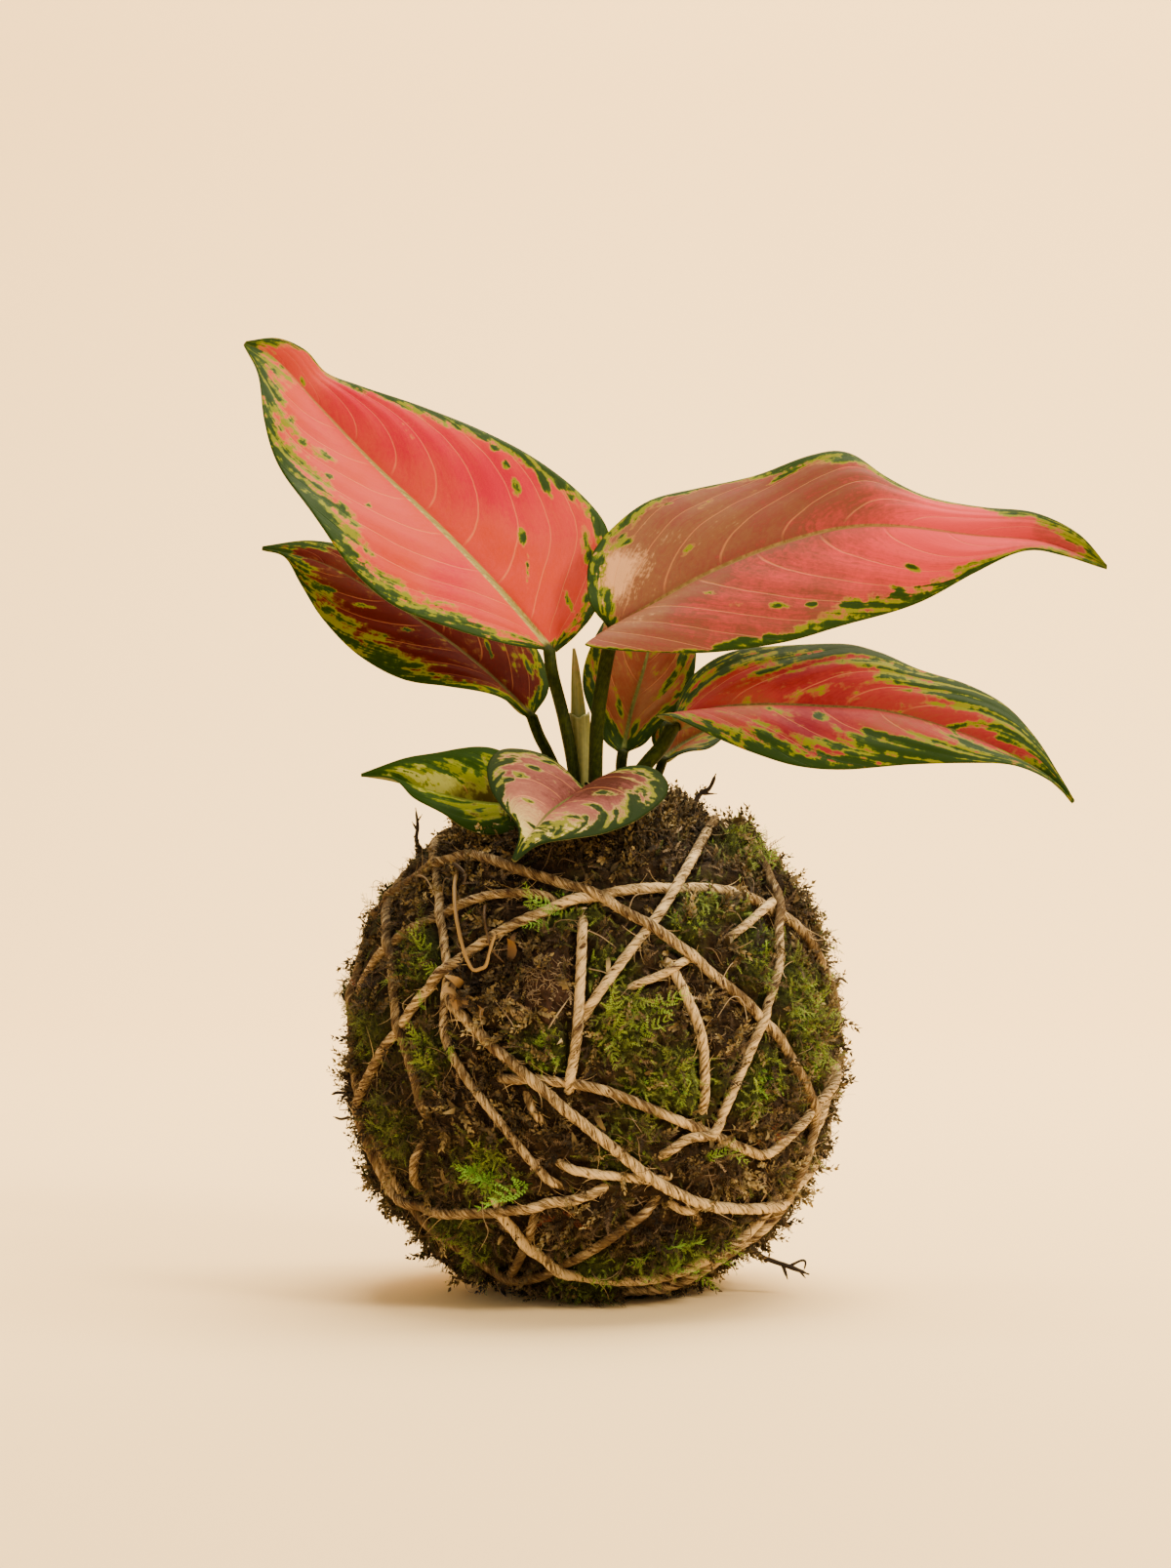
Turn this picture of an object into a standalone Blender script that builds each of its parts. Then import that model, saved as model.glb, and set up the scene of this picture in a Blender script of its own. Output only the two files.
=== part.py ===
# A moss ball plant: a pink-leaved house plant whose roots sit in a ball of soil, wrapped in moss
# and bound with jute twine. It rests on a small flat spot under the ball, with its hanging twine
# draped down the back and coiled. Metres, +Z up, the flat spot's centre at the origin, front at -Y.

import math

import bmesh
import bpy
import numpy as np
from mathutils import Matrix, Vector

MM = 0.001
GAP = 0.0003
SHARP_ANGLE = 50

# The ball: moss over soil, with a flat spot to rest on and an opening round the stems. Radii are
# at the equator, and the ball is a little squarer and taller than a sphere
CENTRE_HEIGHT = 0.0603
BALL_CENTRE = np.array([0.0, 0.0, CENTRE_HEIGHT])
SQUARENESS = 2.2
TALLNESS = 1.033
FLAT_RADIUS = 0.016
MOSS_UNDER_TWINE = 0.0575
MOSS_BULGE = 0.0029
MOSS_INSIDE = 0.0523
MOSS_PRESSED = 0.0055
MOSS_SHOULDER = 0.008
MOUND_RADIUS = 0.0553
CRUMBS = 0.0007

# Tilts from straight up, in degrees: the opening's rim, the flat spot's rim, the bottom of the
# soil, and the middle of its top
OPENING_TILT = 16.5
FLAT_TILT = 165
INNER_FLAT_TILT = 174
CROWN_TILT = 1.5
BALL_SIDES = 36
MOSS_RINGS = 23
INNER_RINGS = 9
MOUND_RINGS = 5

# The twine: 3 mm jute, its wraps lying half sunk in the moss
TWINE_RADIUS = 0.0015
WRAP_RADIUS = 0.0597
WRAP_SEGMENTS = 27
WRAP_SIDES = 5
WRAP_START = 0.37

# Each wrap runs round the ball in a plane: heading and rise of the plane's axis in degrees, and its
# offset along that axis
WRAPS = [
    (49, 43, 0),
    (118, 46, -0.003),
    (84, 47, 0),
    (173, 30, 0),
    (-147, 33, -0.002),
    (-48, 28, 0),
    (-20, 52, 0.001),
    (-25, 72, 0),
    (-100, 26, 0),
]

# The hanging twine's tie, on the wrap that passes closest behind the stems
TIE_HEADING = 80
TIE_TILT = 26
TIE_RADIUS = 0.0034
TIE_HEIGHT = 0.0023

# The coil of hanging twine: nearly four turns in two layers, the upper one resting on the lower ones
COIL_CENTRE = (0.0011, 0.0534)
COIL_INNER_TURN = 0.0125
COIL_OUTER_TURN = 0.0185
COIL_HEIGHT = 2 * TWINE_RADIUS + 0.0026
COIL_SHOULDER = 0.0011
COIL_STEPS = 24
KNOT_RADIUS = 0.0033

# The hanging twine's route from its tie to the coil, in millimetres
HANG_POINTS = 24
HANG_ROUTE = [
    (5.6, 31.9, 118.0),
    (7.4, 42.0, 111.0),
    (9.3, 52.9, 97.9),
    (10.6, 60.1, 82.3),
    (11.1, 62.8, 69.1),
    (11.3, 64.6, 56.0),
    (11.4, 65.4, 42.0),
    (11.4, 65.8, 28.0),
    (11.4, 65.8, 18.0),
    (11.4, 65.8, 12.1),
    (11.1, 65.8, 10.0),
    (10.3, 66.0, 8.1),
    (9.6, 66.1, 7.0),
]

# Every blade: its faceting, its thickness, where its blunt tip ends along the curves, the number of
# waves along it and how far they lag from one margin to the other, in radians
BLADE_ROWS = 14
HALF_COLUMNS = 3
PETIOLE_RINGS = 7
MARGIN_THICKNESS = 0.0006
BLADE_THICKNESS = 0.0008
BLUNT_TIP = 0.985
WAVES = 2.5
WAVE_LAG = 0.9
PETIOLE_SEAM = 0.12

# The rib under a blade: its depth as a share of the petiole's radius, how sharply it thins towards
# the tip, and how narrow it is at the base and how much narrower at the tip
RIB_DEPTH = 1.1
RIB_THINNING = 1.5
RIB_NARROWNESS = 1.5
RIB_NARROWING = 4

# Leaves: the petiole from its foot in the soil, then the midrib and the two margins from base to
# tip, in millimetres, with left and right as seen on the upper face with the tip up
LEAVES = {
    "leaf_upper_left": {
        "colour": (0.75, 0.13, 0.14),
        "radius": 0.00155,
        "camber": 0.0012,
        "wave": 0.0008,
        "petiole": [(-4, 1, 103.5), (-4.5, 1, 124.5), (-7, 2, 139.5), (-10, 3, 151.5)],
        "rib": [(-11, 4, 158.5), (-25, 8, 174.5), (-40, 13, 190), (-55, 19, 204.5), (-69.5, 24, 220),
                (-80.5, 27, 232), (-88.5, 26, 236)],
        "left": [(-12.5, 3, 157.5), (-22.5, -2, 159), (-35.5, -6, 162.5), (-49, -9, 168.5),
                 (-60, -7, 178.5), (-70, -1, 191.5), (-78, 7, 204), (-82, 13, 215.5), (-84.5, 22, 227.5),
                 (-88.5, 26, 235.5)],
        "right": [(-9, 5, 157), (-4, 8, 161.5), (1, 13, 168.5), (4, 20, 180.5), (3.5, 23, 189.5),
                  (-4, 25, 198.5), (-16.5, 25, 207.5), (-30.5, 25, 215), (-44, 26, 220.5),
                  (-58.5, 27, 225), (-67.5, 29, 228.5), (-73, 29, 234.5), (-80, 28, 237.5),
                  (-88, 26, 236.5)],
    },
    "leaf_upper_right": {
        "colour": (0.68, 0.20, 0.15),
        "radius": 0.00175,
        "camber": 0.0015,
        "wave": 0.0008,
        "petiole": [(0.5, -3, 102.5), (0.5, -3, 122.5), (1, -3, 139.5), (3, -4, 153.5)],
        "rib": [(5, -4.5, 162.5), (15.5, -3, 169), (28, -2, 176), (43.5, -2, 182.5), (60, -3, 187),
                (74.5, -5, 187.5), (93, -8, 185), (109.5, -12, 183), (124, -18, 176.5)],
        "left": [(3.5, -3.5, 163), (-0.5, -3, 168), (-1.5, 1, 174), (-0.5, 5, 180.5), (5, 9, 188),
                 (14, 11, 195), (26, 11, 198.5), (41, 10, 201.5), (54, 8, 205.5), (62.5, 7, 206),
                 (71.5, 5, 200.5), (82, 1, 195.5), (95.5, -4, 192.5), (107.5, -9, 190.5),
                 (117.5, -14, 185), (124, -18, 177)],
        "right": [(5, -6.5, 161), (1, -9.5, 159.5), (-2, -12, 158), (3, -13.5, 157), (12.5, -14, 156.5),
                  (29, -14, 156.5), (46.5, -14, 158.5), (61.5, -13, 163), (78.5, -13, 168.5),
                  (92.5, -13, 175.5), (104.5, -14, 180.5), (113.5, -16, 179.5), (124, -18, 176)],
    },
    "leaf_lower_right": {
        "colour": (0.55, 0.08, 0.09),
        "radius": 0.0019,
        "camber": 0.0016,
        "wave": 0.0007,
        "petiole": [(5, 0, 103.5), (6, 0, 118.5), (12, 0, 128), (17, 0, 134)],
        "rib": [(20, 0, 139.5), (29.5, 1, 143), (42.5, 1, 144), (56.5, -1, 143.5), (70, -4, 142.5),
                (83.5, -8, 139), (97, -13, 133.5), (107.5, -18, 127.5), (115.5, -22, 120)],
        "left": [(20, 1.5, 141), (21.5, 6, 146), (25.5, 9, 152), (34, 10, 157), (46.5, 10, 159),
                 (61.5, 8, 159.5), (70.5, 6, 157), (80, 3, 152.5), (91.5, -2, 149), (100.5, -7, 144),
                 (107, -13, 136), (112, -19, 127), (115.5, -22, 120.5)],
        "right": [(20, -2, 139), (15.5, -4, 141), (19.5, -6, 140.5), (28.5, -9, 136.5), (38.5, -12, 132.5),
                  (49.5, -14, 128.5), (60.5, -15, 127.5), (76, -16, 129.5), (90, -18, 129.5),
                  (101.5, -20, 128.5), (110.5, -22, 124.5), (115, -22, 119.5)],
    },
    "leaf_lower_left": {
        "colour": (0.38, 0.07, 0.06),
        "radius": 0.00145,
        "camber": 0.0012,
        "wave": 0.0006,
        "petiole": [(-5, 8.5, 103.5), (-6, 9, 119.5), (-11, 9.5, 131.5), (-13.5, 10, 136.5)],
        "rib": [(-15.5, 10, 142), (-26.5, 15, 152.5), (-38.5, 20, 162), (-53.5, 25, 172), (-69, 30, 180.5),
                (-84.5, 33, 184.5)],
        "left": [(-16.5, 9, 141), (-23.5, 8, 146), (-36, 9, 148.5), (-48, 11, 151), (-59.5, 16, 157),
                 (-68, 21, 166), (-74, 27, 175), (-78.5, 31, 182), (-84.5, 33, 184)],
        "right": [(-14.5, 12, 142), (-11.5, 18, 147), (-11.5, 24, 152.5), (-15.5, 30, 161),
                  (-27, 34, 169.5), (-42, 37, 177.5), (-57, 38, 183.5), (-72, 36, 186.5), (-84.5, 33, 185)],
    },
    "leaf_back_middle": {
        "colour": (0.50, 0.10, 0.10),
        "radius": 0.0014,
        "camber": 0.0010,
        "wave": 0.0005,
        "petiole": [(7, 8.5, 103.5), (7, 9, 118.5), (7, 9, 125.5), (7, 9, 129.5)],
        "rib": [(7.5, 10, 133), (9.5, 14, 142.5), (12.5, 18, 152.5), (15, 23, 162), (17.5, 29, 172.5),
                (19.5, 35, 181.5)],
        "left": [(6, 9, 132.5), (2.5, 9, 135.5), (-1, 10, 143), (-2.5, 12, 149.5), (-1.5, 16, 156.5),
                 (2.5, 22, 165), (9.5, 30, 174.5), (19, 35, 181.5)],
        "right": [(9, 10, 132.5), (13, 9, 134.5), (17, 10, 139.5), (21.5, 11, 144), (25, 14, 150),
                  (26, 18, 158.5), (25.5, 24, 167), (23.5, 31, 175.5), (20, 35, 181.5)],
    },
    "leaf_back_right": {
        "colour": (0.45, 0.09, 0.08),
        "radius": 0.0012,
        "camber": 0.0008,
        "wave": 0.0004,
        "petiole": [(11.5, 5.5, 103.5), (12.5, 5.5, 116.5), (14.5, 6, 123.5), (16.3, 6, 127.5)],
        "rib": [(17.5, 6.5, 131), (22.5, 12, 134.5), (28, 17, 137.5), (34, 22, 141.5), (40, 27, 146.5)],
        "left": [(16.5, 7.5, 131.5), (14.5, 11, 135.5), (16.5, 14, 140), (22, 19, 144), (29, 23, 147),
                 (35, 26, 148), (40, 27, 146.8)],
        "right": [(18.7, 6, 130.5), (24, 7, 132.5), (29, 9, 133.5), (32.5, 12, 135.5), (36.5, 18, 139.5),
                  (40, 26.7, 146)],
    },
    "leaf_front_heart": {
        "colour": (0.66, 0.20, 0.20),
        "radius": 0.0016,
        "camber": 0.0012,
        "wave": 0.0004,
        "petiole": [(0.5, -27, 99.5), (0.3, -31.5, 107.5), (0, -35, 115), (-0.6, -36, 119.5)],
        "rib": [(-2, -35.5, 123.2), (-6.5, -45.5, 120.5), (-10.5, -56.5, 117.5), (-13.5, -66.5, 114),
                (-16, -74.5, 111), (-18, -78.5, 107)],
        "left": [(-0.5, -34.5, 124), (3.5, -26.5, 126.5), (8.5, -23.5, 128.5), (14, -25.5, 128),
                 (17.5, -32.5, 125), (16.5, -41.5, 121), (10.5, -52.5, 116), (3, -61.5, 113.5),
                 (-5, -69.5, 112), (-12.5, -74.5, 110.5), (-17.5, -78.5, 107)],
        "right": [(-3.3, -34.5, 124.3), (-8, -24.5, 129), (-13, -21.5, 132), (-18.5, -23.5, 133),
                  (-22.5, -30.5, 132), (-25, -40.5, 128.5), (-24, -50.5, 124), (-21, -59.5, 119),
                  (-18, -66.5, 115.5), (-17, -73.5, 112), (-18.5, -78.5, 107.5)],
    },
    "leaf_front_green": {
        "colour": (0.45, 0.42, 0.16),
        "radius": 0.0014,
        "camber": 0.0010,
        "wave": 0.0005,
        "petiole": [(-5, -9, 103.5), (-5.5, -11, 113), (-6.2, -13.5, 119), (-7.6, -17.3, 121.6)],
        "rib": [(-10, -20, 121.3), (-18.5, -21, 119.5), (-27.5, -22, 120), (-37, -22, 122),
                (-46.5, -21, 125), (-56, -20, 126.5)],
        "left": [(-9.6, -21.6, 120.7), (-14, -28, 116.5), (-21.5, -30.5, 112.9), (-30, -31, 113.6),
                 (-36.5, -30.5, 117), (-42.5, -27.5, 121), (-47.5, -23.5, 125.3), (-56, -20.5, 126.3)],
        "right": [(-9.6, -18.8, 122.1), (-13, -13, 125.5), (-17.5, -11, 129), (-23.5, -11, 132.5),
                  (-32.5, -13, 133), (-42, -15, 131.5), (-50, -18, 129), (-56, -19.7, 126.8)],
    },
}

# The new shoot: a sheath with the next leaf still rolled up in it, as (x, y, z, radius) in millimetres
SHOOT = [
    (-0.3, 5.5, 102.5, 2.2),
    (-0.3, 5.5, 118.5, 2.3),
    (0.0, 5.5, 126.5, 2.5),
    (0.3, 5.5, 136.5, 2.8),
    (0.3, 5.5, 142, 2.9),
    (0.0, 5.5, 143.1, 2.3),
    (-1.6, 5.3, 145, 1.75),
    (-3.2, 5.0, 149.5, 1.5),
    (-4.2, 4.8, 154.5, 0.95),
    (-4.8, 4.6, 158, 0.5),
]
SHOOT_SIDES = 12
SHOOT_RINGS = 22

# The holes round the stems' feet: those of the leaves, and as many of the shoot's points
HOLE_SIDES = 10
HOLE_RINGS = 4
SHOOT_FOOT = 3


def clear_scene():
    for item in list(bpy.data.objects):
        bpy.data.objects.remove(item, do_unlink=True)


def finish(name, colour, roughness):
    material = bpy.data.materials.new(name)
    material.use_nodes = True
    shader = material.node_tree.nodes["Principled BSDF"]
    shader.inputs["Base Color"].default_value = (*colour, 1)
    shader.inputs["Roughness"].default_value = roughness
    shader.inputs["Metallic"].default_value = 0
    return material


def place(name, mesh, material):
    item = bpy.data.objects.new(name, mesh)
    bpy.context.collection.objects.link(item)
    mesh.materials.clear()
    mesh.materials.append(material)
    mesh.shade_smooth()
    mesh.set_sharp_from_angle(angle=math.radians(SHARP_ANGLE))
    return item


def outward(mesh):
    body = bmesh.new()
    body.from_mesh(mesh)
    bmesh.ops.recalc_face_normals(body, faces=body.faces)
    body.to_mesh(mesh)
    body.free()
    return mesh


def mesh_from(name, points, faces):
    mesh = bpy.data.meshes.new(name)
    mesh.from_pydata([tuple(point) for point in points], [], faces)
    return outward(mesh)


def smooth_line(points, steps=16):
    # A Catmull-Rom curve through the points, read closely
    points = np.asarray(points, float)
    ends = [2 * points[0] - points[1], *points, 2 * points[-1] - points[-2]]
    line = []
    for before, start, end, after in zip(ends, ends[1:], ends[2:], ends[3:]):
        for step in range(steps):
            t = step / steps
            line.append(
                0.5
                * (
                    2 * start
                    + (end - before) * t
                    + (2 * before - 5 * start + 4 * end - after) * t**2
                    + (3 * start - before - 3 * end + after) * t**3
                )
            )
    line.append(points[-1])
    return np.array(line)


def along(line, fractions):
    # The line's points at those fractions of its length
    reach = np.concatenate([[0], np.cumsum(np.linalg.norm(np.diff(line[:, :3], axis=0), axis=1))])
    wanted = np.asarray(fractions) * reach[-1]
    return np.stack([np.interp(wanted, reach, line[:, k]) for k in range(line.shape[1])], axis=1)


def unit(vectors):
    return vectors / np.linalg.norm(vectors, axis=-1, keepdims=True)


def bridge(faces, first, second):
    # Closed bands of triangles between two rings of vertex numbers, all split the same way
    count = len(first)
    for k in range(count):
        after = (k + 1) % count
        faces.append((first[k], first[after], second[after]))
        faces.append((first[k], second[after], second[k]))


def blade_grid(leaf):
    # The blade's middle surface, with its left margin, midrib and right margin as columns
    t = np.linspace(0, 1, BLADE_ROWS)
    rows = BLUNT_TIP * (0.5 * t + 0.25 * (1 - np.cos(np.pi * t)))
    rib = along(smooth_line(leaf["rib"]), rows) * MM
    left = along(smooth_line(leaf["left"]), rows) * MM
    right = along(smooth_line(leaf["right"]), rows) * MM
    columns = np.linspace(-1, 1, 2 * HALF_COLUMNS + 1)
    side = np.abs(columns)[None, :, None]
    margin = np.where(columns[None, :, None] < 0, left[:, None], right[:, None])
    grid = rib[:, None] * (1 - side) + margin * side
    normal = grid_normals(grid)
    swell = np.sin(np.pi * side) * leaf["camber"] * np.sin(np.pi * rows)[:, None, None]
    phase = rows[:, None, None] * 2 * np.pi * WAVES + columns[None, :, None] * WAVE_LAG
    ripple = side**2 * leaf["wave"] * np.sin(phase) * np.sin(np.pi * rows)[:, None, None]
    grid = grid + normal * (swell + ripple)
    return grid, grid_normals(grid), rows, columns


def grid_normals(grid):
    across = np.gradient(grid, axis=1)
    forward = np.gradient(grid, axis=0)
    return unit(np.cross(across, forward))


def petiole_rings(leaf, side_way, up_way):
    # Rings round the petiole from its foot to the blade, turned to meet the blade's first row
    line = smooth_line(leaf["petiole"] + leaf["rib"][:1])
    line = along(line, np.linspace(0, 1, PETIOLE_RINGS + 1)) * MM
    ways = unit(np.gradient(line, axis=0))
    top = np.linspace(np.pi - PETIOLE_SEAM, PETIOLE_SEAM, 2 * HALF_COLUMNS + 1)
    rings = []
    side = side_way
    for centre, way in zip(line[-2::-1], ways[-2::-1]):
        side = unit(side - way * np.dot(side, way))
        up = np.cross(way, side)
        if np.dot(up, up_way) < 0:
            up = -up
        ring = [centre + leaf["radius"] * (np.cos(a) * side + np.sin(a) * up) for a in top]
        ring += [centre + leaf["radius"] * (np.cos(a) * side - np.sin(a) * up) for a in top[::-1]]
        rings.insert(0, ring)
        up_way = up
    return rings


def leaf_mesh(name, leaf):
    grid, normal, rows, columns = blade_grid(leaf)
    middle = HALF_COLUMNS
    rings = petiole_rings(leaf, unit(grid[0, -1] - grid[0, 0]), normal[0, middle])
    for i, row in enumerate(rows):
        body = BLADE_THICKNESS + (MARGIN_THICKNESS - BLADE_THICKNESS) * np.abs(columns)
        rib = np.maximum(0, 1 - np.abs(columns) * (RIB_NARROWNESS + RIB_NARROWING * row))
        rib *= RIB_DEPTH * leaf["radius"] * (1 - row) ** RIB_THINNING
        above = grid[i] + normal[i] * (body / 2)[:, None]
        below = grid[i] - normal[i] * (body / 2 + rib)[:, None]
        rings.append([*above, *below[::-1]])
    count = len(rings[0])
    numbers = [[i * count + k for k in range(count)] for i in range(len(rings))]
    faces = []
    for first, second in zip(numbers, numbers[1:]):
        half = count // 2
        for k in range(half - 1):
            # The lower face is split along the same diagonals as the upper one
            faces.append((first[k], first[k + 1], second[k + 1]))
            faces.append((first[k], second[k + 1], second[k]))
            low, low_next = count - 1 - k, count - 2 - k
            faces.append((first[low], first[low_next], second[low_next]))
            faces.append((first[low], second[low_next], second[low]))
        for k, after in ((half - 1, half), (count - 1, 0)):
            faces.append((first[k], first[after], second[after]))
            faces.append((first[k], second[after], second[k]))
    for ring in (numbers[0], numbers[-1]):
        for k in range(count // 2 - 1):
            faces.append((ring[k], ring[k + 1], ring[count - 2 - k], ring[count - 1 - k]))
    return mesh_from(name, [point for ring in rings for point in ring], faces)


def tube_mesh(name, centres, radii, sides):
    # A closed tube of varying radius along a line of centres
    ways = unit(np.gradient(centres, axis=0))
    side = unit(np.cross(ways[0], [0.3, 1.0, 0.1]))
    turns = np.arange(sides) * 2 * np.pi / sides
    rings = []
    for centre, way, radius in zip(centres, ways, radii):
        side = unit(side - way * np.dot(side, way))
        up = np.cross(way, side)
        rings.append([centre + radius * (np.cos(a) * side + np.sin(a) * up) for a in turns])
    return closed_rings(name, rings)


def wrap_axis(heading, rise):
    heading, rise = math.radians(heading), math.radians(rise)
    return np.array(
        [math.cos(rise) * math.cos(heading), math.cos(rise) * math.sin(heading), math.sin(rise)]
    )


def ball_way(heading, tilt):
    # The direction from the ball's centre at that heading, tilt being measured from straight up
    heading, tilt = math.radians(heading), math.radians(tilt)
    return np.array(
        [math.sin(tilt) * math.cos(heading), math.sin(tilt) * math.sin(heading), math.cos(tilt)]
    )


def ball_swell(way):
    # How much further out the surface lies in that direction than at the ball's equator
    flat_part = math.hypot(way[0], way[1]) ** SQUARENESS
    tall_part = (abs(way[2]) / TALLNESS) ** SQUARENESS
    return (flat_part + tall_part) ** (-1 / SQUARENESS)


def twine_distance(way):
    # How far along the ball's surface the nearest wrap runs
    reach = []
    for heading, rise, offset in WRAPS:
        angle = math.asin(np.clip(np.dot(wrap_axis(heading, rise), way), -1, 1))
        reach.append(abs(angle - math.asin(offset / WRAP_RADIUS)))
    return min(reach) * WRAP_RADIUS


def moss_radius(way):
    # The moss swells between the strands of twine and is pressed down under them
    share = np.clip((twine_distance(way) - MOSS_PRESSED) / MOSS_SHOULDER, 0, 1)
    uneven = 0.8 + 0.2 * math.sin(23 * way[0] + 3) * math.sin(19 * way[1] + 1) * math.sin(21 * way[2])
    return MOSS_UNDER_TWINE + MOSS_BULGE * share**2 * (3 - 2 * share) * uneven


def ball_rings(start, end, count, radius_at):
    # Rings of points on the ball from one tilt to another, in degrees
    rings = []
    for tilt in np.linspace(start, end, count):
        ring = []
        for k in range(BALL_SIDES):
            way = ball_way(360 * k / BALL_SIDES, tilt)
            ring.append(BALL_CENTRE + way * radius_at(way) * ball_swell(way))
        rings.append(ring)
    return rings


def closed_rings(name, rings):
    # A closed body through rings of points, with flat ends
    sides = len(rings[0])
    numbers = [list(range(i * sides, (i + 1) * sides)) for i in range(len(rings))]
    faces = [tuple(numbers[0]), tuple(numbers[-1])]
    for first, second in zip(numbers, numbers[1:]):
        bridge(faces, first, second)
    return mesh_from(name, [point for ring in rings for point in ring], faces)


def moss_mesh():
    outer = ball_rings(OPENING_TILT, FLAT_TILT, MOSS_RINGS, moss_radius)
    outer[-1] = [(*(FLAT_RADIUS * unit(np.array(point[:2]))), 0.0) for point in outer[-1]]
    inner = ball_rings(OPENING_TILT, INNER_FLAT_TILT, INNER_RINGS, lambda way: MOSS_INSIDE)
    return closed_rings("moss_layer", outer[::-1] + inner)


def soil_mesh():
    # Its skin lies a little further in than the gap, because its flat facets cut the curve's corners
    skin = MOSS_INSIDE - 1.2 * GAP
    rim = OPENING_TILT - math.degrees(1.8 * GAP / MOSS_INSIDE)
    mound = ball_rings(CROWN_TILT, rim - 0.05, MOUND_RINGS, soil_top)
    body = ball_rings(rim, INNER_FLAT_TILT, INNER_RINGS, lambda way: skin)
    return closed_rings("soil_core", mound + body)


def soil_top(way):
    # The crumbly top of the soil, seen among the stems
    return MOUND_RADIUS + CRUMBS * math.sin(60 * way[0] + 1) * math.sin(55 * way[1])


def stem_holes():
    # Slightly wider tubes along the feet of the stems
    holes = bpy.data.collections.new("stem holes")
    room = 1 / math.cos(math.pi / HOLE_SIDES)
    feet = [(leaf["petiole"], leaf["radius"]) for leaf in LEAVES.values()]
    feet.append(([point[:3] for point in SHOOT[:SHOOT_FOOT]], SHOOT[SHOOT_FOOT - 1][3] * MM))
    for number, (foot, radius) in enumerate(feet):
        line = smooth_line(foot)
        start = line[0] - unit(line[1] - line[0]) * GAP / MM
        centres = along(np.vstack([start, line]), np.linspace(0, 1, HOLE_RINGS)) * MM
        mesh = tube_mesh(f"hole {number}", centres, [(radius + GAP) * room] * HOLE_RINGS, HOLE_SIDES)
        holes.objects.link(bpy.data.objects.new(mesh.name, mesh))
    return holes


def with_boolean(item, collection, operation):
    # The item's mesh after one Boolean with everything in the collection
    change = item.modifiers.new("boolean", "BOOLEAN")
    change.operation = operation
    change.operand_type = "COLLECTION"
    change.collection = collection
    change.solver = "EXACT"
    bpy.context.view_layer.update()
    seen = item.evaluated_get(bpy.context.evaluated_depsgraph_get())
    mesh = bpy.data.meshes.new_from_object(seen)
    item.modifiers.clear()
    item.data = mesh


def remove_collection(collection):
    for item in list(collection.objects):
        bpy.data.objects.remove(item, do_unlink=True)
    bpy.data.collections.remove(collection)


def make_ball():
    moss = place("moss_layer", moss_mesh(), finish("moss", (0.17, 0.19, 0.06), 0.95))
    soil = place("soil_core", soil_mesh(), finish("soil", (0.06, 0.035, 0.02), 1.0))
    holes = stem_holes()
    bpy.context.scene.collection.children.link(holes)
    for item in (moss, soil):
        with_boolean(item, holes, "DIFFERENCE")
    remove_collection(holes)


def wrap_mesh(number, heading, rise, offset):
    # One turn of the twine round the ball, a closed tube lying on the moss
    axis = wrap_axis(heading, rise)
    first = unit(np.cross(axis, [0, 0, 1]))
    second = np.cross(axis, first)
    share = offset / WRAP_RADIUS
    start = number * WRAP_START
    rings = []
    for k in range(WRAP_SEGMENTS):
        angle = start + 2 * math.pi * k / WRAP_SEGMENTS
        out = math.cos(angle) * first + math.sin(angle) * second
        way = axis * share + out * math.sqrt(1 - share**2)
        centre = BALL_CENTRE + way * WRAP_RADIUS * ball_swell(way)
        side = unit(np.cross(way, np.cross(axis, out)))
        ring = []
        for j in range(WRAP_SIDES):
            turn = 2 * math.pi * j / WRAP_SIDES
            ring.append(centre + TWINE_RADIUS * (math.cos(turn) * way + math.sin(turn) * side))
        rings.append(ring)
    numbers = [list(range(k * WRAP_SIDES, (k + 1) * WRAP_SIDES)) for k in range(WRAP_SEGMENTS)]
    faces = []
    for here, after in zip(numbers, numbers[1:] + numbers[:1]):
        bridge(faces, here, after)
    return mesh_from(f"wrap {number}", [point for ring in rings for point in ring], faces)


def make_wraps(jute):
    # All the wraps of the twine, fused where they cross
    meshes = [wrap_mesh(number, *wrap) for number, wrap in enumerate(WRAPS)]
    wraps = place("twine_wraps", meshes[0], jute)
    others = bpy.data.collections.new("other wraps")
    bpy.context.scene.collection.children.link(others)
    for mesh in meshes[1:]:
        others.objects.link(bpy.data.objects.new(mesh.name, mesh))
    with_boolean(wraps, others, "UNION")
    remove_collection(others)


def make_plant():
    for name, leaf in LEAVES.items():
        place(name, leaf_mesh(name, leaf), finish(name, leaf["colour"], 0.4))
    shoot = along(smooth_line(SHOOT), np.linspace(0, 1, SHOOT_RINGS)) * MM
    mesh = tube_mesh("new_shoot", shoot[:, :3], shoot[:, 3], SHOOT_SIDES)
    place("new_shoot", mesh, finish("new_shoot", (0.42, 0.40, 0.20), 0.5))


def lump_mesh(name, centre, up, radius, height):
    # A knot's outer shape: a flattened ball
    body = bmesh.new()
    bmesh.ops.create_icosphere(body, subdivisions=2, radius=1.0)
    turn = Vector(up).to_track_quat("Z", "Y").to_matrix().to_4x4()
    body.transform(Matrix.Translation(Vector(centre)) @ turn @ Matrix.Diagonal((radius, radius, height, 1)))
    mesh = bpy.data.meshes.new(name)
    body.to_mesh(mesh)
    body.free()
    return mesh


def make_tie(jute):
    # The knot that ties the hanging twine to the wraps, sitting on the wrap behind the stems
    way = ball_way(TIE_HEADING, TIE_TILT)
    centre = BALL_CENTRE + way * (WRAP_RADIUS * ball_swell(way) + TWINE_RADIUS + GAP + TIE_HEIGHT)
    mesh = lump_mesh("hang_twine_tie", centre, way, TIE_RADIUS, TIE_HEIGHT)
    place("hang_twine_tie", mesh, jute)


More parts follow.
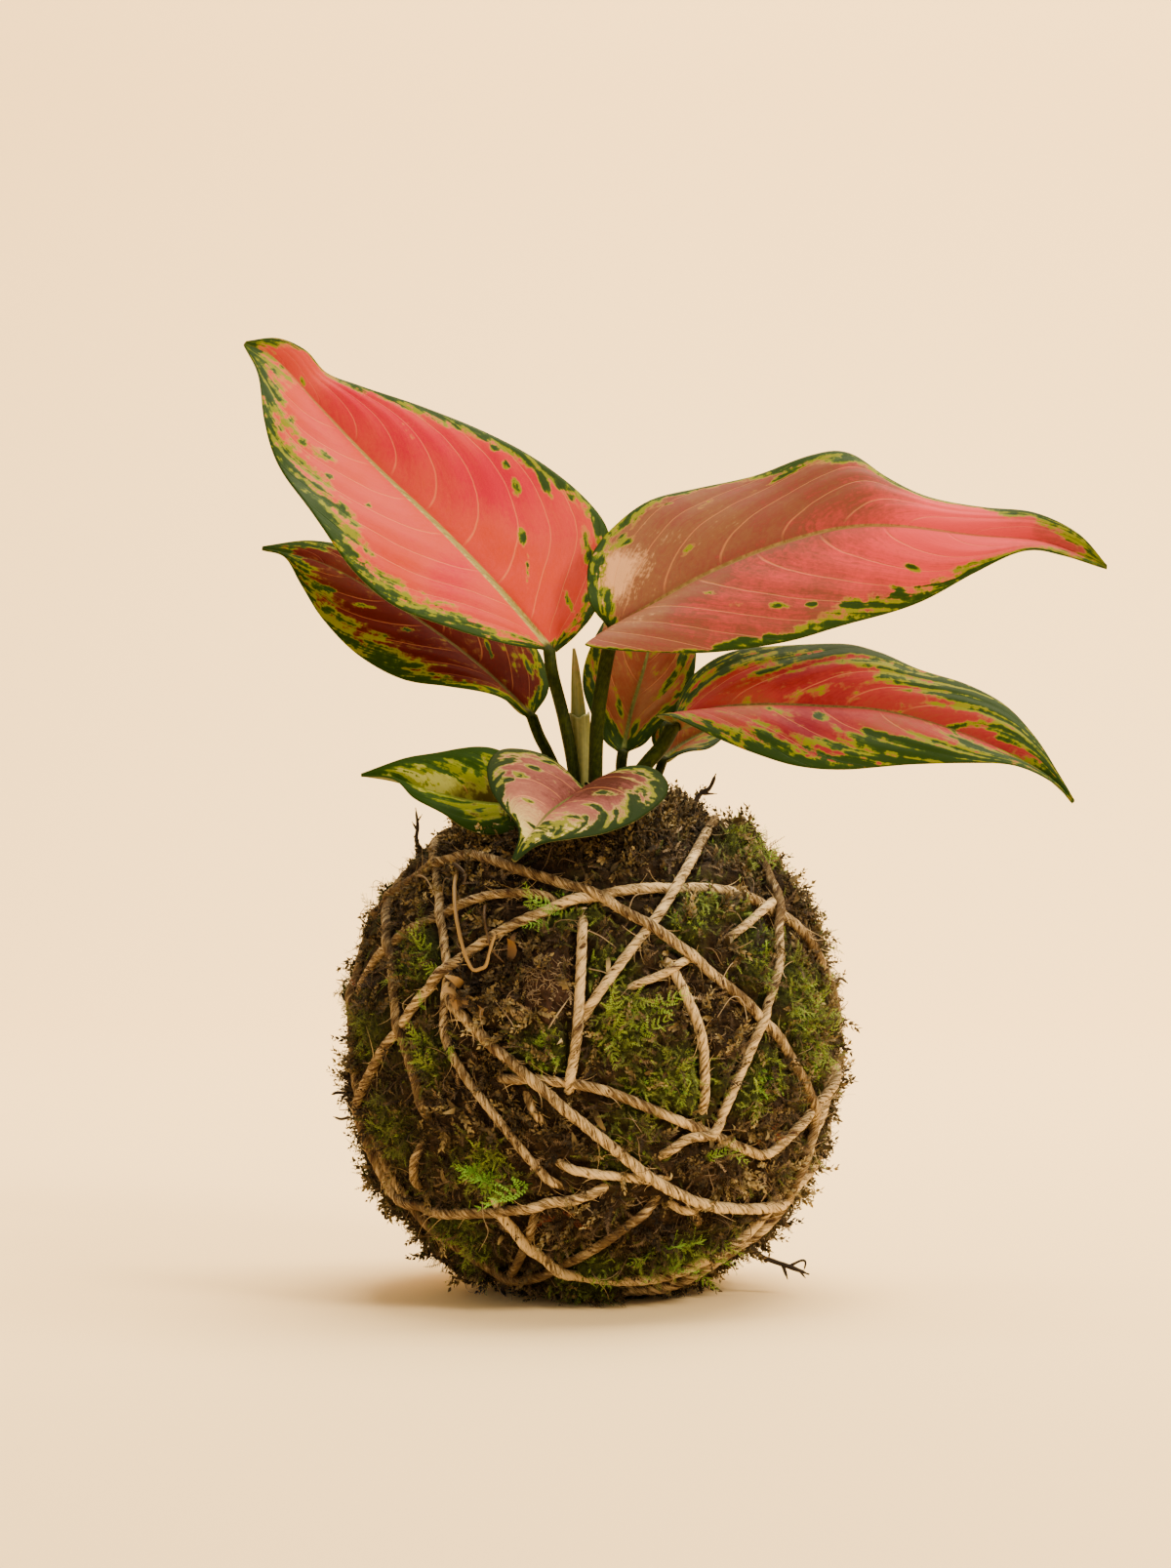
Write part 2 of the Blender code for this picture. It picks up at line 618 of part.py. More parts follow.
def make_hanging_twine(jute):
    # The twine from its tie down the back of the ball to the coil
    line = along(smooth_line(HANG_ROUTE), np.linspace(0, 1, HANG_POINTS)) * MM
    curve = bpy.data.curves.new("hang_twine", "CURVE")
    curve.dimensions = "3D"
    curve.bevel_depth = TWINE_RADIUS
    curve.bevel_resolution = 2
    curve.use_fill_caps = True
    spline = curve.splines.new("POLY")
    spline.points.add(len(line) - 1)
    for point, here in zip(spline.points, line):
        point.co = (*here, 1)
    curve.materials.append(jute)
    bpy.context.collection.objects.link(bpy.data.objects.new("hang_twine", curve))


def make_coil(jute):
    # The coil's outer shape: a ring with rounded shoulders, lying behind the ball
    inside = COIL_INNER_TURN - TWINE_RADIUS
    outside = COIL_OUTER_TURN + TWINE_RADIUS
    profile = [
        (inside, COIL_SHOULDER),
        (inside + COIL_SHOULDER, 0),
        (outside - COIL_SHOULDER, 0),
        (outside, COIL_SHOULDER),
        (outside, 2 * TWINE_RADIUS),
        (outside - 2 * COIL_SHOULDER, COIL_HEIGHT),
        (inside + COIL_SHOULDER, COIL_HEIGHT),
        (inside, 2 * TWINE_RADIUS),
    ]
    body = bmesh.new()
    ring = [body.verts.new((radius, 0, height)) for radius, height in profile]
    edges = [body.edges.new((ring[k], ring[(k + 1) % len(ring)])) for k in range(len(ring))]
    turn = {"axis": (0, 0, 1), "cent": (0, 0, 0), "angle": 2 * math.pi, "steps": COIL_STEPS}
    bmesh.ops.spin(body, geom=ring + edges, use_merge=True, **turn)
    bmesh.ops.remove_doubles(body, verts=body.verts, dist=1e-6)
    body.transform(Matrix.Translation((*COIL_CENTRE, 0)))
    mesh = bpy.data.meshes.new("hang_twine_coil")
    body.to_mesh(mesh)
    body.free()
    place("hang_twine_coil", outward(mesh), jute)


def make_knot(jute):
    # The knot at the twine's end, lying in the coil against its innermost turn
    away = COIL_INNER_TURN - TWINE_RADIUS - GAP - KNOT_RADIUS
    centre = (COIL_CENTRE[0] + away, COIL_CENTRE[1], KNOT_RADIUS)
    mesh = lump_mesh("hang_twine_knot", centre, (0, 0, 1), KNOT_RADIUS, KNOT_RADIUS)
    place("hang_twine_knot", mesh, jute)


clear_scene()
make_ball()
twine = finish("jute", (0.45, 0.31, 0.16), 0.9)
make_wraps(twine)
make_plant()
make_tie(twine)
make_hanging_twine(twine)
make_coil(twine)
make_knot(twine)
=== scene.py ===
import itertools
import math

import bpy
import numpy as np
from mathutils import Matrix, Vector, kdtree


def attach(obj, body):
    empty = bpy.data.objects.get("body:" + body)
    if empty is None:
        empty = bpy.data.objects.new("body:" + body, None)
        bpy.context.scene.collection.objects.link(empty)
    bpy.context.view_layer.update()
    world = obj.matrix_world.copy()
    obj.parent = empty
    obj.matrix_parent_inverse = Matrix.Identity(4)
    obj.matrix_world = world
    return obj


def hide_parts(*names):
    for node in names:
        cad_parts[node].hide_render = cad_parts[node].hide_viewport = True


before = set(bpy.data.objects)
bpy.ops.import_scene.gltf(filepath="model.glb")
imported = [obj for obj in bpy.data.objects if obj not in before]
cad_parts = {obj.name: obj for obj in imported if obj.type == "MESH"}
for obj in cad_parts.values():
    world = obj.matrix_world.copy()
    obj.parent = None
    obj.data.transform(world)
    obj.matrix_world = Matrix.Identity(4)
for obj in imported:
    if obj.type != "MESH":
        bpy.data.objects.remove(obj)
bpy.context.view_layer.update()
print("frame loaded")

mm = 0.001


class Wire:
    # a node's output that takes part in sums; it starts from a bare material
    def __init__(self, tree, socket=None):
        self.tree = tree
        self.socket = socket

    def node(self, kind, settings=None, inputs=None, output=0):
        made = self.tree.nodes.new(kind)
        for name, value in (settings or {}).items():
            if name == "stops":
                stops = made.color_ramp.elements
                while len(stops) < len(value):
                    stops.new(0.5)
                for stop, (position, colour) in zip(stops, value):
                    stop.position = position
                    stop.color = (*colour, 1)
            else:
                setattr(made, name, value)
        for name, value in (inputs or {}).items():
            if isinstance(value, Wire):
                self.tree.links.new(value.socket, made.inputs[name])
            else:
                made.inputs[name].default_value = value
        return Wire(self.tree, made.outputs[output])

    def sum(self, operation, first, second):
        return self.node("ShaderNodeMath", {"operation": operation}, {0: first, 1: second})

    def __add__(self, other):
        return self.sum("ADD", self, other)

    def __sub__(self, other):
        return self.sum("SUBTRACT", self, other)

    def __rsub__(self, other):
        return self.sum("SUBTRACT", other, self)

    def __mul__(self, other):
        return self.sum("MULTIPLY", self, other)

    def __abs__(self):
        return self.sum("ABSOLUTE", self, 0.0)

    __radd__ = __add__
    __rmul__ = __mul__

    def rise(self, low, high):
        # 0 below low, 1 above high, smooth between
        values = {"Value": self, "From Min": low, "From Max": high}
        return self.node("ShaderNodeMapRange", {"interpolation_type": "SMOOTHSTEP"}, values)

    def blend(self, first, second):
        # from the first colour to the second as this goes from 0 to 1
        first, second = ((*colour, 1) if isinstance(colour, tuple) else colour for colour in (first, second))
        return self.node("ShaderNodeMix", {"data_type": "RGBA"}, {0: self, 6: first, 7: second}, 2)

    def scaled(self, *factors):
        # a vector with each part multiplied by its own factor
        values = {0: self, 1: factors}
        return self.node("ShaderNodeVectorMath", {"operation": "MULTIPLY"}, values)

    def speckle(self, place, scale, detail=3.0, roughness=0.55):
        values = {"Vector": place, "Scale": scale, "Detail": detail, "Roughness": roughness}
        return self.node("ShaderNodeTexNoise", {}, values)

    def mark(self, name):
        # what the mesh holds under that name
        return self.node("ShaderNodeAttribute", {"attribute_name": name}, {}, "Fac")

    def vector(self, x, y, z):
        return self.node("ShaderNodeCombineXYZ", {}, {0: x, 1: y, 2: z})

    def place(self):
        # the point's place on the mesh, in metres
        return self.node("ShaderNodeTexCoord", {}, {}, "Object")

    def bump(self, height, distance, strength=1.0):
        values = {"Height": height, "Distance": distance, "Strength": strength}
        return self.node("ShaderNodeBump", {}, values)


def newMaterial(name, **settings):
    # returns the material, a bare Wire to start from, and a function that fills the shader's sockets
    material = bpy.data.materials.new(name)
    material.use_nodes = True
    shader = material.node_tree.nodes["Principled BSDF"]
    start = Wire(material.node_tree)

    def fill(**sockets):
        for words, value in sockets.items():
            socket = shader.inputs[words.replace("_", " ")]
            if isinstance(value, Wire):
                material.node_tree.links.new(value.socket, socket)
            else:
                socket.default_value = (*value, 1) if isinstance(value, tuple) else value

    fill(**settings)
    return material, start, fill


def unit(vectors):
    return vectors / np.maximum(np.linalg.norm(vectors, axis=-1, keepdims=True), 1e-12)


def smoothLine(points, steps=16):
    # a Catmull-Rom curve through the points, read closely
    points = np.asarray(points, float)
    ends = [2 * points[0] - points[1], *points, 2 * points[-1] - points[-2]]
    t = np.arange(steps)[:, None] / steps
    line = []
    for before, start, end, after in zip(ends, ends[1:], ends[2:], ends[3:]):
        slow = 2 * start + (end - before) * t
        bend = (2 * before - 5 * start + 4 * end - after) * t**2
        line.extend(0.5 * (slow + bend + (3 * start - before - 3 * end + after) * t**3))
    line.append(points[-1])
    return np.array(line)


def lineLengths(line):
    steps = np.linalg.norm(np.diff(line[:, :3], axis=0), axis=1)
    return np.concatenate([[0], np.cumsum(steps)])


def readAlong(line, fractions):
    # the line's points at those fractions of its length
    reach = lineLengths(line)
    wanted = np.asarray(fractions) * reach[-1]
    return np.stack([np.interp(wanted, reach, line[:, k]) for k in range(line.shape[1])], axis=1)


def cloud(points, size, seed):
    # smooth noise from -1 to 1, one value for each point
    cell = np.asarray(points) / size + 13.7 * seed
    low = np.floor(cell)
    part = cell - low
    fade = part * part * (3 - 2 * part)
    total = 0
    for corner in itertools.product((0, 1), repeat=3):
        mixed = np.sin((low + corner) @ np.array([127.1, 311.7, 74.7])) * 43758.5453
        weight = np.prod(np.where(corner, fade, 1 - fade), axis=-1)
        total = total + weight * (mixed - np.floor(mixed))
    return 2 * total - 1


def ramp(values, low, high):
    share = np.clip((np.asarray(values) - low) / (high - low), 0, 1)
    return share * share * (3 - 2 * share)


def addPiece(name, points, faces, material, layout=None, marks=None, smooth=True):
    # faces: arrays of corner numbers, one array for each number of corners; layout: a map, by corner
    mesh = bpy.data.meshes.new(name)
    mesh.vertices.add(len(points))
    mesh.vertices.foreach_set("co", np.asarray(points, np.float32).ravel())
    corners = np.concatenate([np.asarray(some).ravel() for some in faces]).astype(np.int32)
    widths = np.concatenate([np.full(len(some), len(some[0])) for some in faces])
    mesh.loops.add(len(corners))
    mesh.loops.foreach_set("vertex_index", corners)
    mesh.polygons.add(len(widths))
    mesh.polygons.foreach_set("loop_start", (np.cumsum(widths) - widths).astype(np.int32))
    mesh.update(calc_edges=True)
    if layout is not None:
        sheet = mesh.uv_layers.new(name="OFBake")
        sheet.uv.foreach_set("vector", np.asarray(layout, np.float32).ravel())
    for mark, values in (marks or {}).items():
        kept = mesh.attributes.new(mark, "FLOAT", "POINT")
        kept.data.foreach_set("value", np.asarray(values, np.float32).ravel())
    mesh.materials.append(material)
    mesh.validate()
    if smooth:
        mesh.shade_smooth()
    piece = bpy.data.objects.new(name, mesh)
    bpy.context.collection.objects.link(piece)
    return piece


def settle(piece, slot, *nodes):
    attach(piece, "root")
    if nodes:
        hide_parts(*nodes)
    return piece


def addPart(name, part, material, slot, *nodes):
    # a swept or joined part as a piece that stands for those nodes
    points, faces, layout, marks = part
    return settle(addPiece(name, points, faces, material, layout, marks), slot, *nodes)


def joined(parts):
    # several (points, faces, layout, marks) as one
    points, faces, layouts, marks = [], {}, {}, {}
    count = 0
    for somePoints, someFaces, someLayout, someMarks in parts:
        start = 0
        for some in someFaces:
            some = np.asarray(some)
            width = some.shape[1]
            faces.setdefault(width, []).append(some + count)
            end = start + some.size
            layouts.setdefault(width, []).append(someLayout[start:end])
            start = end
        for mark, values in someMarks.items():
            marks.setdefault(mark, []).append(np.ravel(values))
        points.append(somePoints)
        count += len(somePoints)
    merged = [np.concatenate(faces[width]) for width in faces]
    layout = np.concatenate([some for width in faces for some in layouts[width]])
    return np.concatenate(points), merged, layout, {m: np.concatenate(v) for m, v in marks.items()}


def sweep(rings, closed=False, window=(0, 0, 1, 1), marks=None):
    # quads through rings of points, each ring closed, with flat ends unless the line itself is closed
    rings = np.asarray(rings)
    count, sides = rings.shape[:2]
    i = np.arange(count if closed else count - 1)[:, None]
    k = np.arange(sides)[None]
    low, high = i * sides, (i + 1) % count * sides
    after = (k + 1) % sides
    quads = np.stack(np.broadcast_arrays(low + k, low + after, high + after, high + k), -1)
    u = (i + np.array([0, 0, 1, 1])[:, None, None]) / len(i)
    v = (k + np.array([0, 1, 1, 0])[:, None, None]) / sides
    u, v = np.broadcast_arrays(u, v)
    left, bottom, right, top = window
    layout = np.stack([left + (right - left) * u, bottom + (top - bottom) * v], -1)
    layout = np.moveaxis(layout, 0, 2).reshape(-1, 2)
    faces = [quads.reshape(-1, 4)]
    if not closed:
        turn = roundAngles(sides)
        for first in (0, (count - 1) * sides):
            numbers = first + np.arange(sides)
            faces.append((numbers[::-1] if first == 0 else numbers)[None])
            tiny = 0.4 * (top - bottom) / sides * np.stack([np.cos(turn), np.sin(turn)], -1)
            middle = [left if first == 0 else right, (bottom + top) / 2]
            layout = np.concatenate([layout, tiny + middle])
    return rings.reshape(-1, 3), faces, layout, {m: np.ravel(v) for m, v in (marks or {}).items()}


def roundAngles(count):
    return 2 * np.pi * np.arange(count) / count


def tubeRings(centres, radii, sides):
    # round rings along a line, not twisting
    ways = unit(np.gradient(centres, axis=0))
    turns = roundAngles(sides)
    side = unit(np.cross(ways[0], (0.3, 1.0, 0.1)))
    rings = []
    for centre, way, radius in zip(centres, ways, radii):
        side = unit(side - way * np.dot(side, way))
        up = np.cross(way, side)
        rings.append(centre + radius * (np.cos(turns)[:, None] * side + np.sin(turns)[:, None] * up))
    return np.array(rings)


# in metres, but for the sensor's size
view = {
    "distance": 0.9, "across": -0.0019, "height": 0.1244, "viewHigh": 0.3857, "nearest": 0.05,
    "sensor": 36,
}


def makeCamera():
    lens = bpy.data.cameras.new("photo_camera")
    lens.sensor_fit = "VERTICAL"
    lens.sensor_height = view["sensor"]
    lens.sensor_width = view["sensor"]
    lens.lens = view["sensor"] * view["distance"] / view["viewHigh"]
    lens.clip_start = view["nearest"]
    camera = bpy.data.objects.new("photo_camera", lens)
    camera.location = (view["across"], -view["distance"], view["height"])
    camera.rotation_euler = (math.pi / 2, 0, 0)
    bpy.context.collection.objects.link(camera)
    bpy.context.scene.camera = camera


makeCamera()
print("camera placed")

jute = {
    "radius": 0.0015,
    "plyOffset": 0.27,       # of a ply's middle from the twine's, in mm
    "plyRadius": 1.12,       # in mm
    "pitch": 0.0095,         # length of one full twist
    "ringStep": 0.0007,
    "sides": 15,
    "straw": (0.72, 0.535, 0.265),
    "tan": (0.125, 0.080, 0.030),
    "dark": (0.045, 0.022, 0.009),
    "fuzzRadius": 0.00008,
    "fuzzStart": 0.0011,     # how far from the twine's middle a loose fibre starts
    "lowestFuzz": 0.0002,
    "woundFuzz": 0.006,      # the longest loose fibre on the wound twine, and on the hanging one
    "hangingFuzz": 0.004,
}


def juteMaterial():
    material, start, fill = newMaterial("jute_twine", Roughness=0.85, Specular_IOR_Level=0.25)
    along, around = start.mark("lengthway"), start.mark("around")
    tone, groove = start.mark("tone"), start.mark("groove")
    fibres = start.speckle(start.vector(along * 0.28, around * 5.0, 0.5), 1.0, 4.0, 0.7)
    strands = start.speckle(start.vector(along * 0.7, around * 13.0, 3.5), 1.0, 3.0, 0.65)
    patches = start.speckle(start.place(), 90.0, 3.0)
    # the tone mark is each strand's own paleness with painted shade in it
    pale = (tone + (fibres - 0.5) * (tone * 3.2 + 1.4) + (patches - 0.5) * 1.2).rise(0.1, 1.05)
    colour = pale.blend(jute["tan"], jute["straw"])
    # painted shade in the grooves between the plies, with dark fibre streaks that the twine itself has
    shade = (groove * 0.30 + (strands - 0.5) * 3.4 - (fibres - 0.5) * 1.6 - tone * 0.30).rise(-0.05, 0.55)
    colour = shade.blend(colour, jute["dark"])
    fill(Base_Color=colour, Normal=start.bump(fibres * 0.8 + strands * 0.7, 0.0005, 0.9))
    return material


def twineRings(centres, outward, closed, size):
    # a three-ply twine along a line of centres, with the marks that its material reads
    if closed:
        ways = unit(np.roll(centres, -1, axis=0) - np.roll(centres, 1, axis=0))
        ring = np.linalg.norm(np.roll(centres, -1, axis=0) - centres, axis=1)
        reach = np.concatenate([[0], np.cumsum(ring)[:-1]])
        total = ring.sum()
        pitch = total / (round(3 * total / jute["pitch"]) / 3)
    else:
        ways = unit(np.gradient(centres, axis=0))
        reach = lineLengths(centres)
        pitch = jute["pitch"]
    side = unit(np.cross(ways, outward))
    up = np.cross(ways, side)
    turn = roundAngles(jute["sides"])
    fromPly = (turn + np.pi / 3) % (2 * np.pi / 3) - np.pi / 3
    offset, ply = jute["plyOffset"], jute["plyRadius"]
    profile = offset * np.cos(fromPly) + np.sqrt(ply**2 - (offset * np.sin(fromPly)) ** 2)
    groove = 1 - (profile - profile.min()) / np.ptp(profile)
    angle = turn[None] + (2 * np.pi * reach / pitch)[:, None]
    swell = 1 + 0.06 * cloud(centres, 0.006, 3)[:, None]
    out = (size * mm * profile[None] * swell)[..., None]
    ways = np.cos(angle)[..., None] * side[:, None] + np.sin(angle)[..., None] * up[:, None]
    rings = centres[:, None] + out * ways
    marks = {
        "lengthway": np.broadcast_to(reach[:, None] / mm + 900 * centres[0].sum(), angle.shape),
        "around": np.broadcast_to(np.abs(turn - np.pi)[None] / np.pi, angle.shape),
        "groove": np.broadcast_to(groove[None], angle.shape),
    }
    return rings, marks


def twinePart(centres, outward, closed, tone, window, size=1.0):
    rings, marks = twineRings(centres, outward, closed, size)
    marks["tone"] = np.broadcast_to(np.reshape(tone, (-1, 1)), rings.shape[:2])
    return sweep(rings, closed, window, marks)


def fuzzParts(centres, draw, count, tone, longest):
    # loose fibres that stand off a twine
    parts = []
    for _ in range(count):
        at = draw.integers(2, len(centres) - 2)
        way = unit(centres[at + 1] - centres[at - 1])
        out = unit(np.cross(way, draw.normal(size=3)))
        length = draw.uniform(0.3, 1) ** 1.5 * longest
        bend = np.cross(way, out) * draw.normal() * 0.5
        t = np.linspace(0, 1, 6)[:, None]
        lean = way * draw.choice([-1, 1])
        standing = lean * (t - 0.2 * t**2) + out * 0.55 * t**1.4 + bend * t**2
        line = centres[at] + out * jute["fuzzStart"] + length * standing
        line[:, 2] = np.maximum(line[:, 2], jute["lowestFuzz"])
        rings = tubeRings(line, jute["fuzzRadius"] * (1.25 - t[:, 0]), 3)
        flat = np.broadcast_to(0.5, rings.shape[:2])
        marks = {"lengthway": flat * 8, "around": flat, "groove": flat * 0, "tone": flat * 2 * tone}
        parts.append(sweep(rings, marks=marks))
    return parts


# the hanging twine: its tie behind the stems, the way down the ball's back, and the coil
hanging = {
    "exit": (5.1, 28.8, 120.2),
    "route": [(5.6, 31.9, 118), (7.4, 42, 111), (9.3, 52.9, 97.9), (10.6, 60.1, 82.3), (11.1, 62.8, 69.1),
              (11.3, 64.6, 56), (11.4, 65.4, 42), (11.4, 65.8, 28), (11.4, 65.8, 18), (11.4, 65.8, 12.1),
              (11.1, 65.8, 10), (10.3, 66, 8.1), (9.6, 66.1, 7)],
    "coilCentre": (1.1, 53.4), "coilStart": 80.1,
    "upperTurns": (14, 17), "upperHeight": 4.4,
    "lowerTurns": (18.4, 12.4), "lowerHeight": 1.6, "rounds": (1.0, 0.6, 2.011),
    "turnSteps": 28, "lastBend": 6.2, "lastAngle": 80, "lastSteps": 8,
    "knotOffset": 7.4, "knotSize": 3.3, "tieSize": 3.4,
    "tone": 0.55, "knotTone": 0.6, "tieTone": 0.5, "fibres": 60, "fibreTone": 0.6,
}


def coilLine():
    # from the foot of the drop, round on top, down outside, inwards on the floor and into the knot
    x, y = hanging["coilCentre"]
    inner, outer = hanging["upperTurns"]
    widest, narrowest = hanging["lowerTurns"]
    high, low = hanging["upperHeight"], hanging["lowerHeight"]
    layers = [(inner, outer, high, high), (outer, widest, high, low), (widest, narrowest, low, low)]
    points, angle = [], math.radians(hanging["coilStart"])
    for (first, last, above, below), share in zip(layers, hanging["rounds"]):
        count = round(share * hanging["turnSteps"])
        for step in range(count):
            t = step / count
            radius = first + (last - first) * t
            spot = angle + 2 * math.pi * share * t
            height = above + (below - above) * t * t * (3 - 2 * t)
            points.append((x + radius * math.cos(spot), y + radius * math.sin(spot), height))
        angle += 2 * math.pi * share
    lastBend, lastSteps = hanging["lastBend"], hanging["lastSteps"]
    foot = np.array([x + narrowest * math.cos(angle), y + narrowest * math.sin(angle)])
    hub = foot - lastBend * np.array([math.cos(angle), math.sin(angle)])
    for step in range(lastSteps):
        spot = angle + math.radians(hanging["lastAngle"]) * step / (lastSteps - 1)
        points.append((*(hub + lastBend * np.array([math.cos(spot), math.sin(spot)])), low))
    return points


def knotPart(centre, up, size, tone):
    # a knot pulled tight, as a closed trefoil
    turn = np.linspace(0, 2 * np.pi, 61)[:-1]
    across = [np.sin(turn) + 2 * np.sin(2 * turn), np.cos(turn) - 2 * np.cos(2 * turn)]
    loop = np.stack([*across, -1.2 * np.sin(3 * turn)], -1)
    up = unit(np.array(up, float))
    side = unit(np.cross(up, [0.3, 0.5, 0.2]))
    axes = np.stack([side, np.cross(up, side), up])
    line = np.array(centre) + loop / 3 * (size - 1.15) * mm @ axes
    return twinePart(line, np.broadcast_to(up, line.shape), True, tone, (0, 0, 1, 1), size=0.85)


def makeHangingTwine(material):
    route = smoothLine(hanging["route"] + coilLine(), 12) * mm
    length = lineLengths(route)[-1]
    count = round(length / jute["ringStep"])
    line = readAlong(route, np.linspace(0, 1, count))
    outward = np.broadcast_to([0.2, 0.3, 1.0], line.shape) + [0, 1.5, 0] * (line[:, 2:] > 0.012)
    part = twinePart(line, outward, False, hanging["tone"], (0, 0, 1, 0.8))
    twine = addPart("hanging_twine", part, material, "jute", "hang_twine", "hang_twine_coil")
    x, y = hanging["coilCentre"]
    knotSpot = np.array([x + hanging["knotOffset"], y, hanging["knotSize"]]) * mm
    part = knotPart(knotSpot, (0, 0, 1), hanging["knotSize"], hanging["knotTone"])
    knot = addPart("end_knot", part, material, "jute", "hang_twine_knot")
    exitSpot = np.array(hanging["exit"]) * mm
    part = knotPart(exitSpot, unit(exitSpot - ballCentre), hanging["tieSize"], hanging["tieTone"])
    tie = addPart("tie_knot", part, material, "jute", "hang_twine_tie")
    draw = np.random.default_rng(5)
    tone, longest = hanging["fibreTone"], jute["hangingFuzz"]
    fibres = fuzzParts(line[5:-5], draw, hanging["fibres"], tone, longest)
    fuzz = addPart("hanging_twine_fibres", joined(fibres), material, "jute")
    print(f"hanging twine: {length:.3f} m")


# in metres, but pressed and shoulder: how far from the twine in mm the moss starts and ends to swell
ball = {
    "centreHeight": 0.0603, "squareness": 2.2, "tallness": 1.033,
    "bedRadius": 0.0568, "bedBulge": 0.0036, "pressed": 0.4, "shoulder": 4.2,
    "soilRadius": 0.0553, "wrapRadius": 0.0597,
}
ballCentre = np.array([0, 0, ball["centreHeight"]])


def ballSwell(ways):
    # how much farther out the ball reaches there than a round one would
    flat = np.hypot(ways[..., 0], ways[..., 1]) ** ball["squareness"]
    tall = (np.abs(ways[..., 2]) / ball["tallness"]) ** ball["squareness"]
    return (flat + tall) ** (-1 / ball["squareness"])


def onBall(ways, radius):
    return ballCentre + ways * (radius * ballSwell(ways))[..., None]


def ballWay(heading, tilt):
    # directions from the ball's centre; tilt is measured from straight up, in degrees
    heading, tilt = np.broadcast_arrays(np.radians(heading), np.radians(tilt))
    flat = np.sin(tilt)
    return np.stack([flat * np.cos(heading), flat * np.sin(heading), np.cos(tilt)], -1)
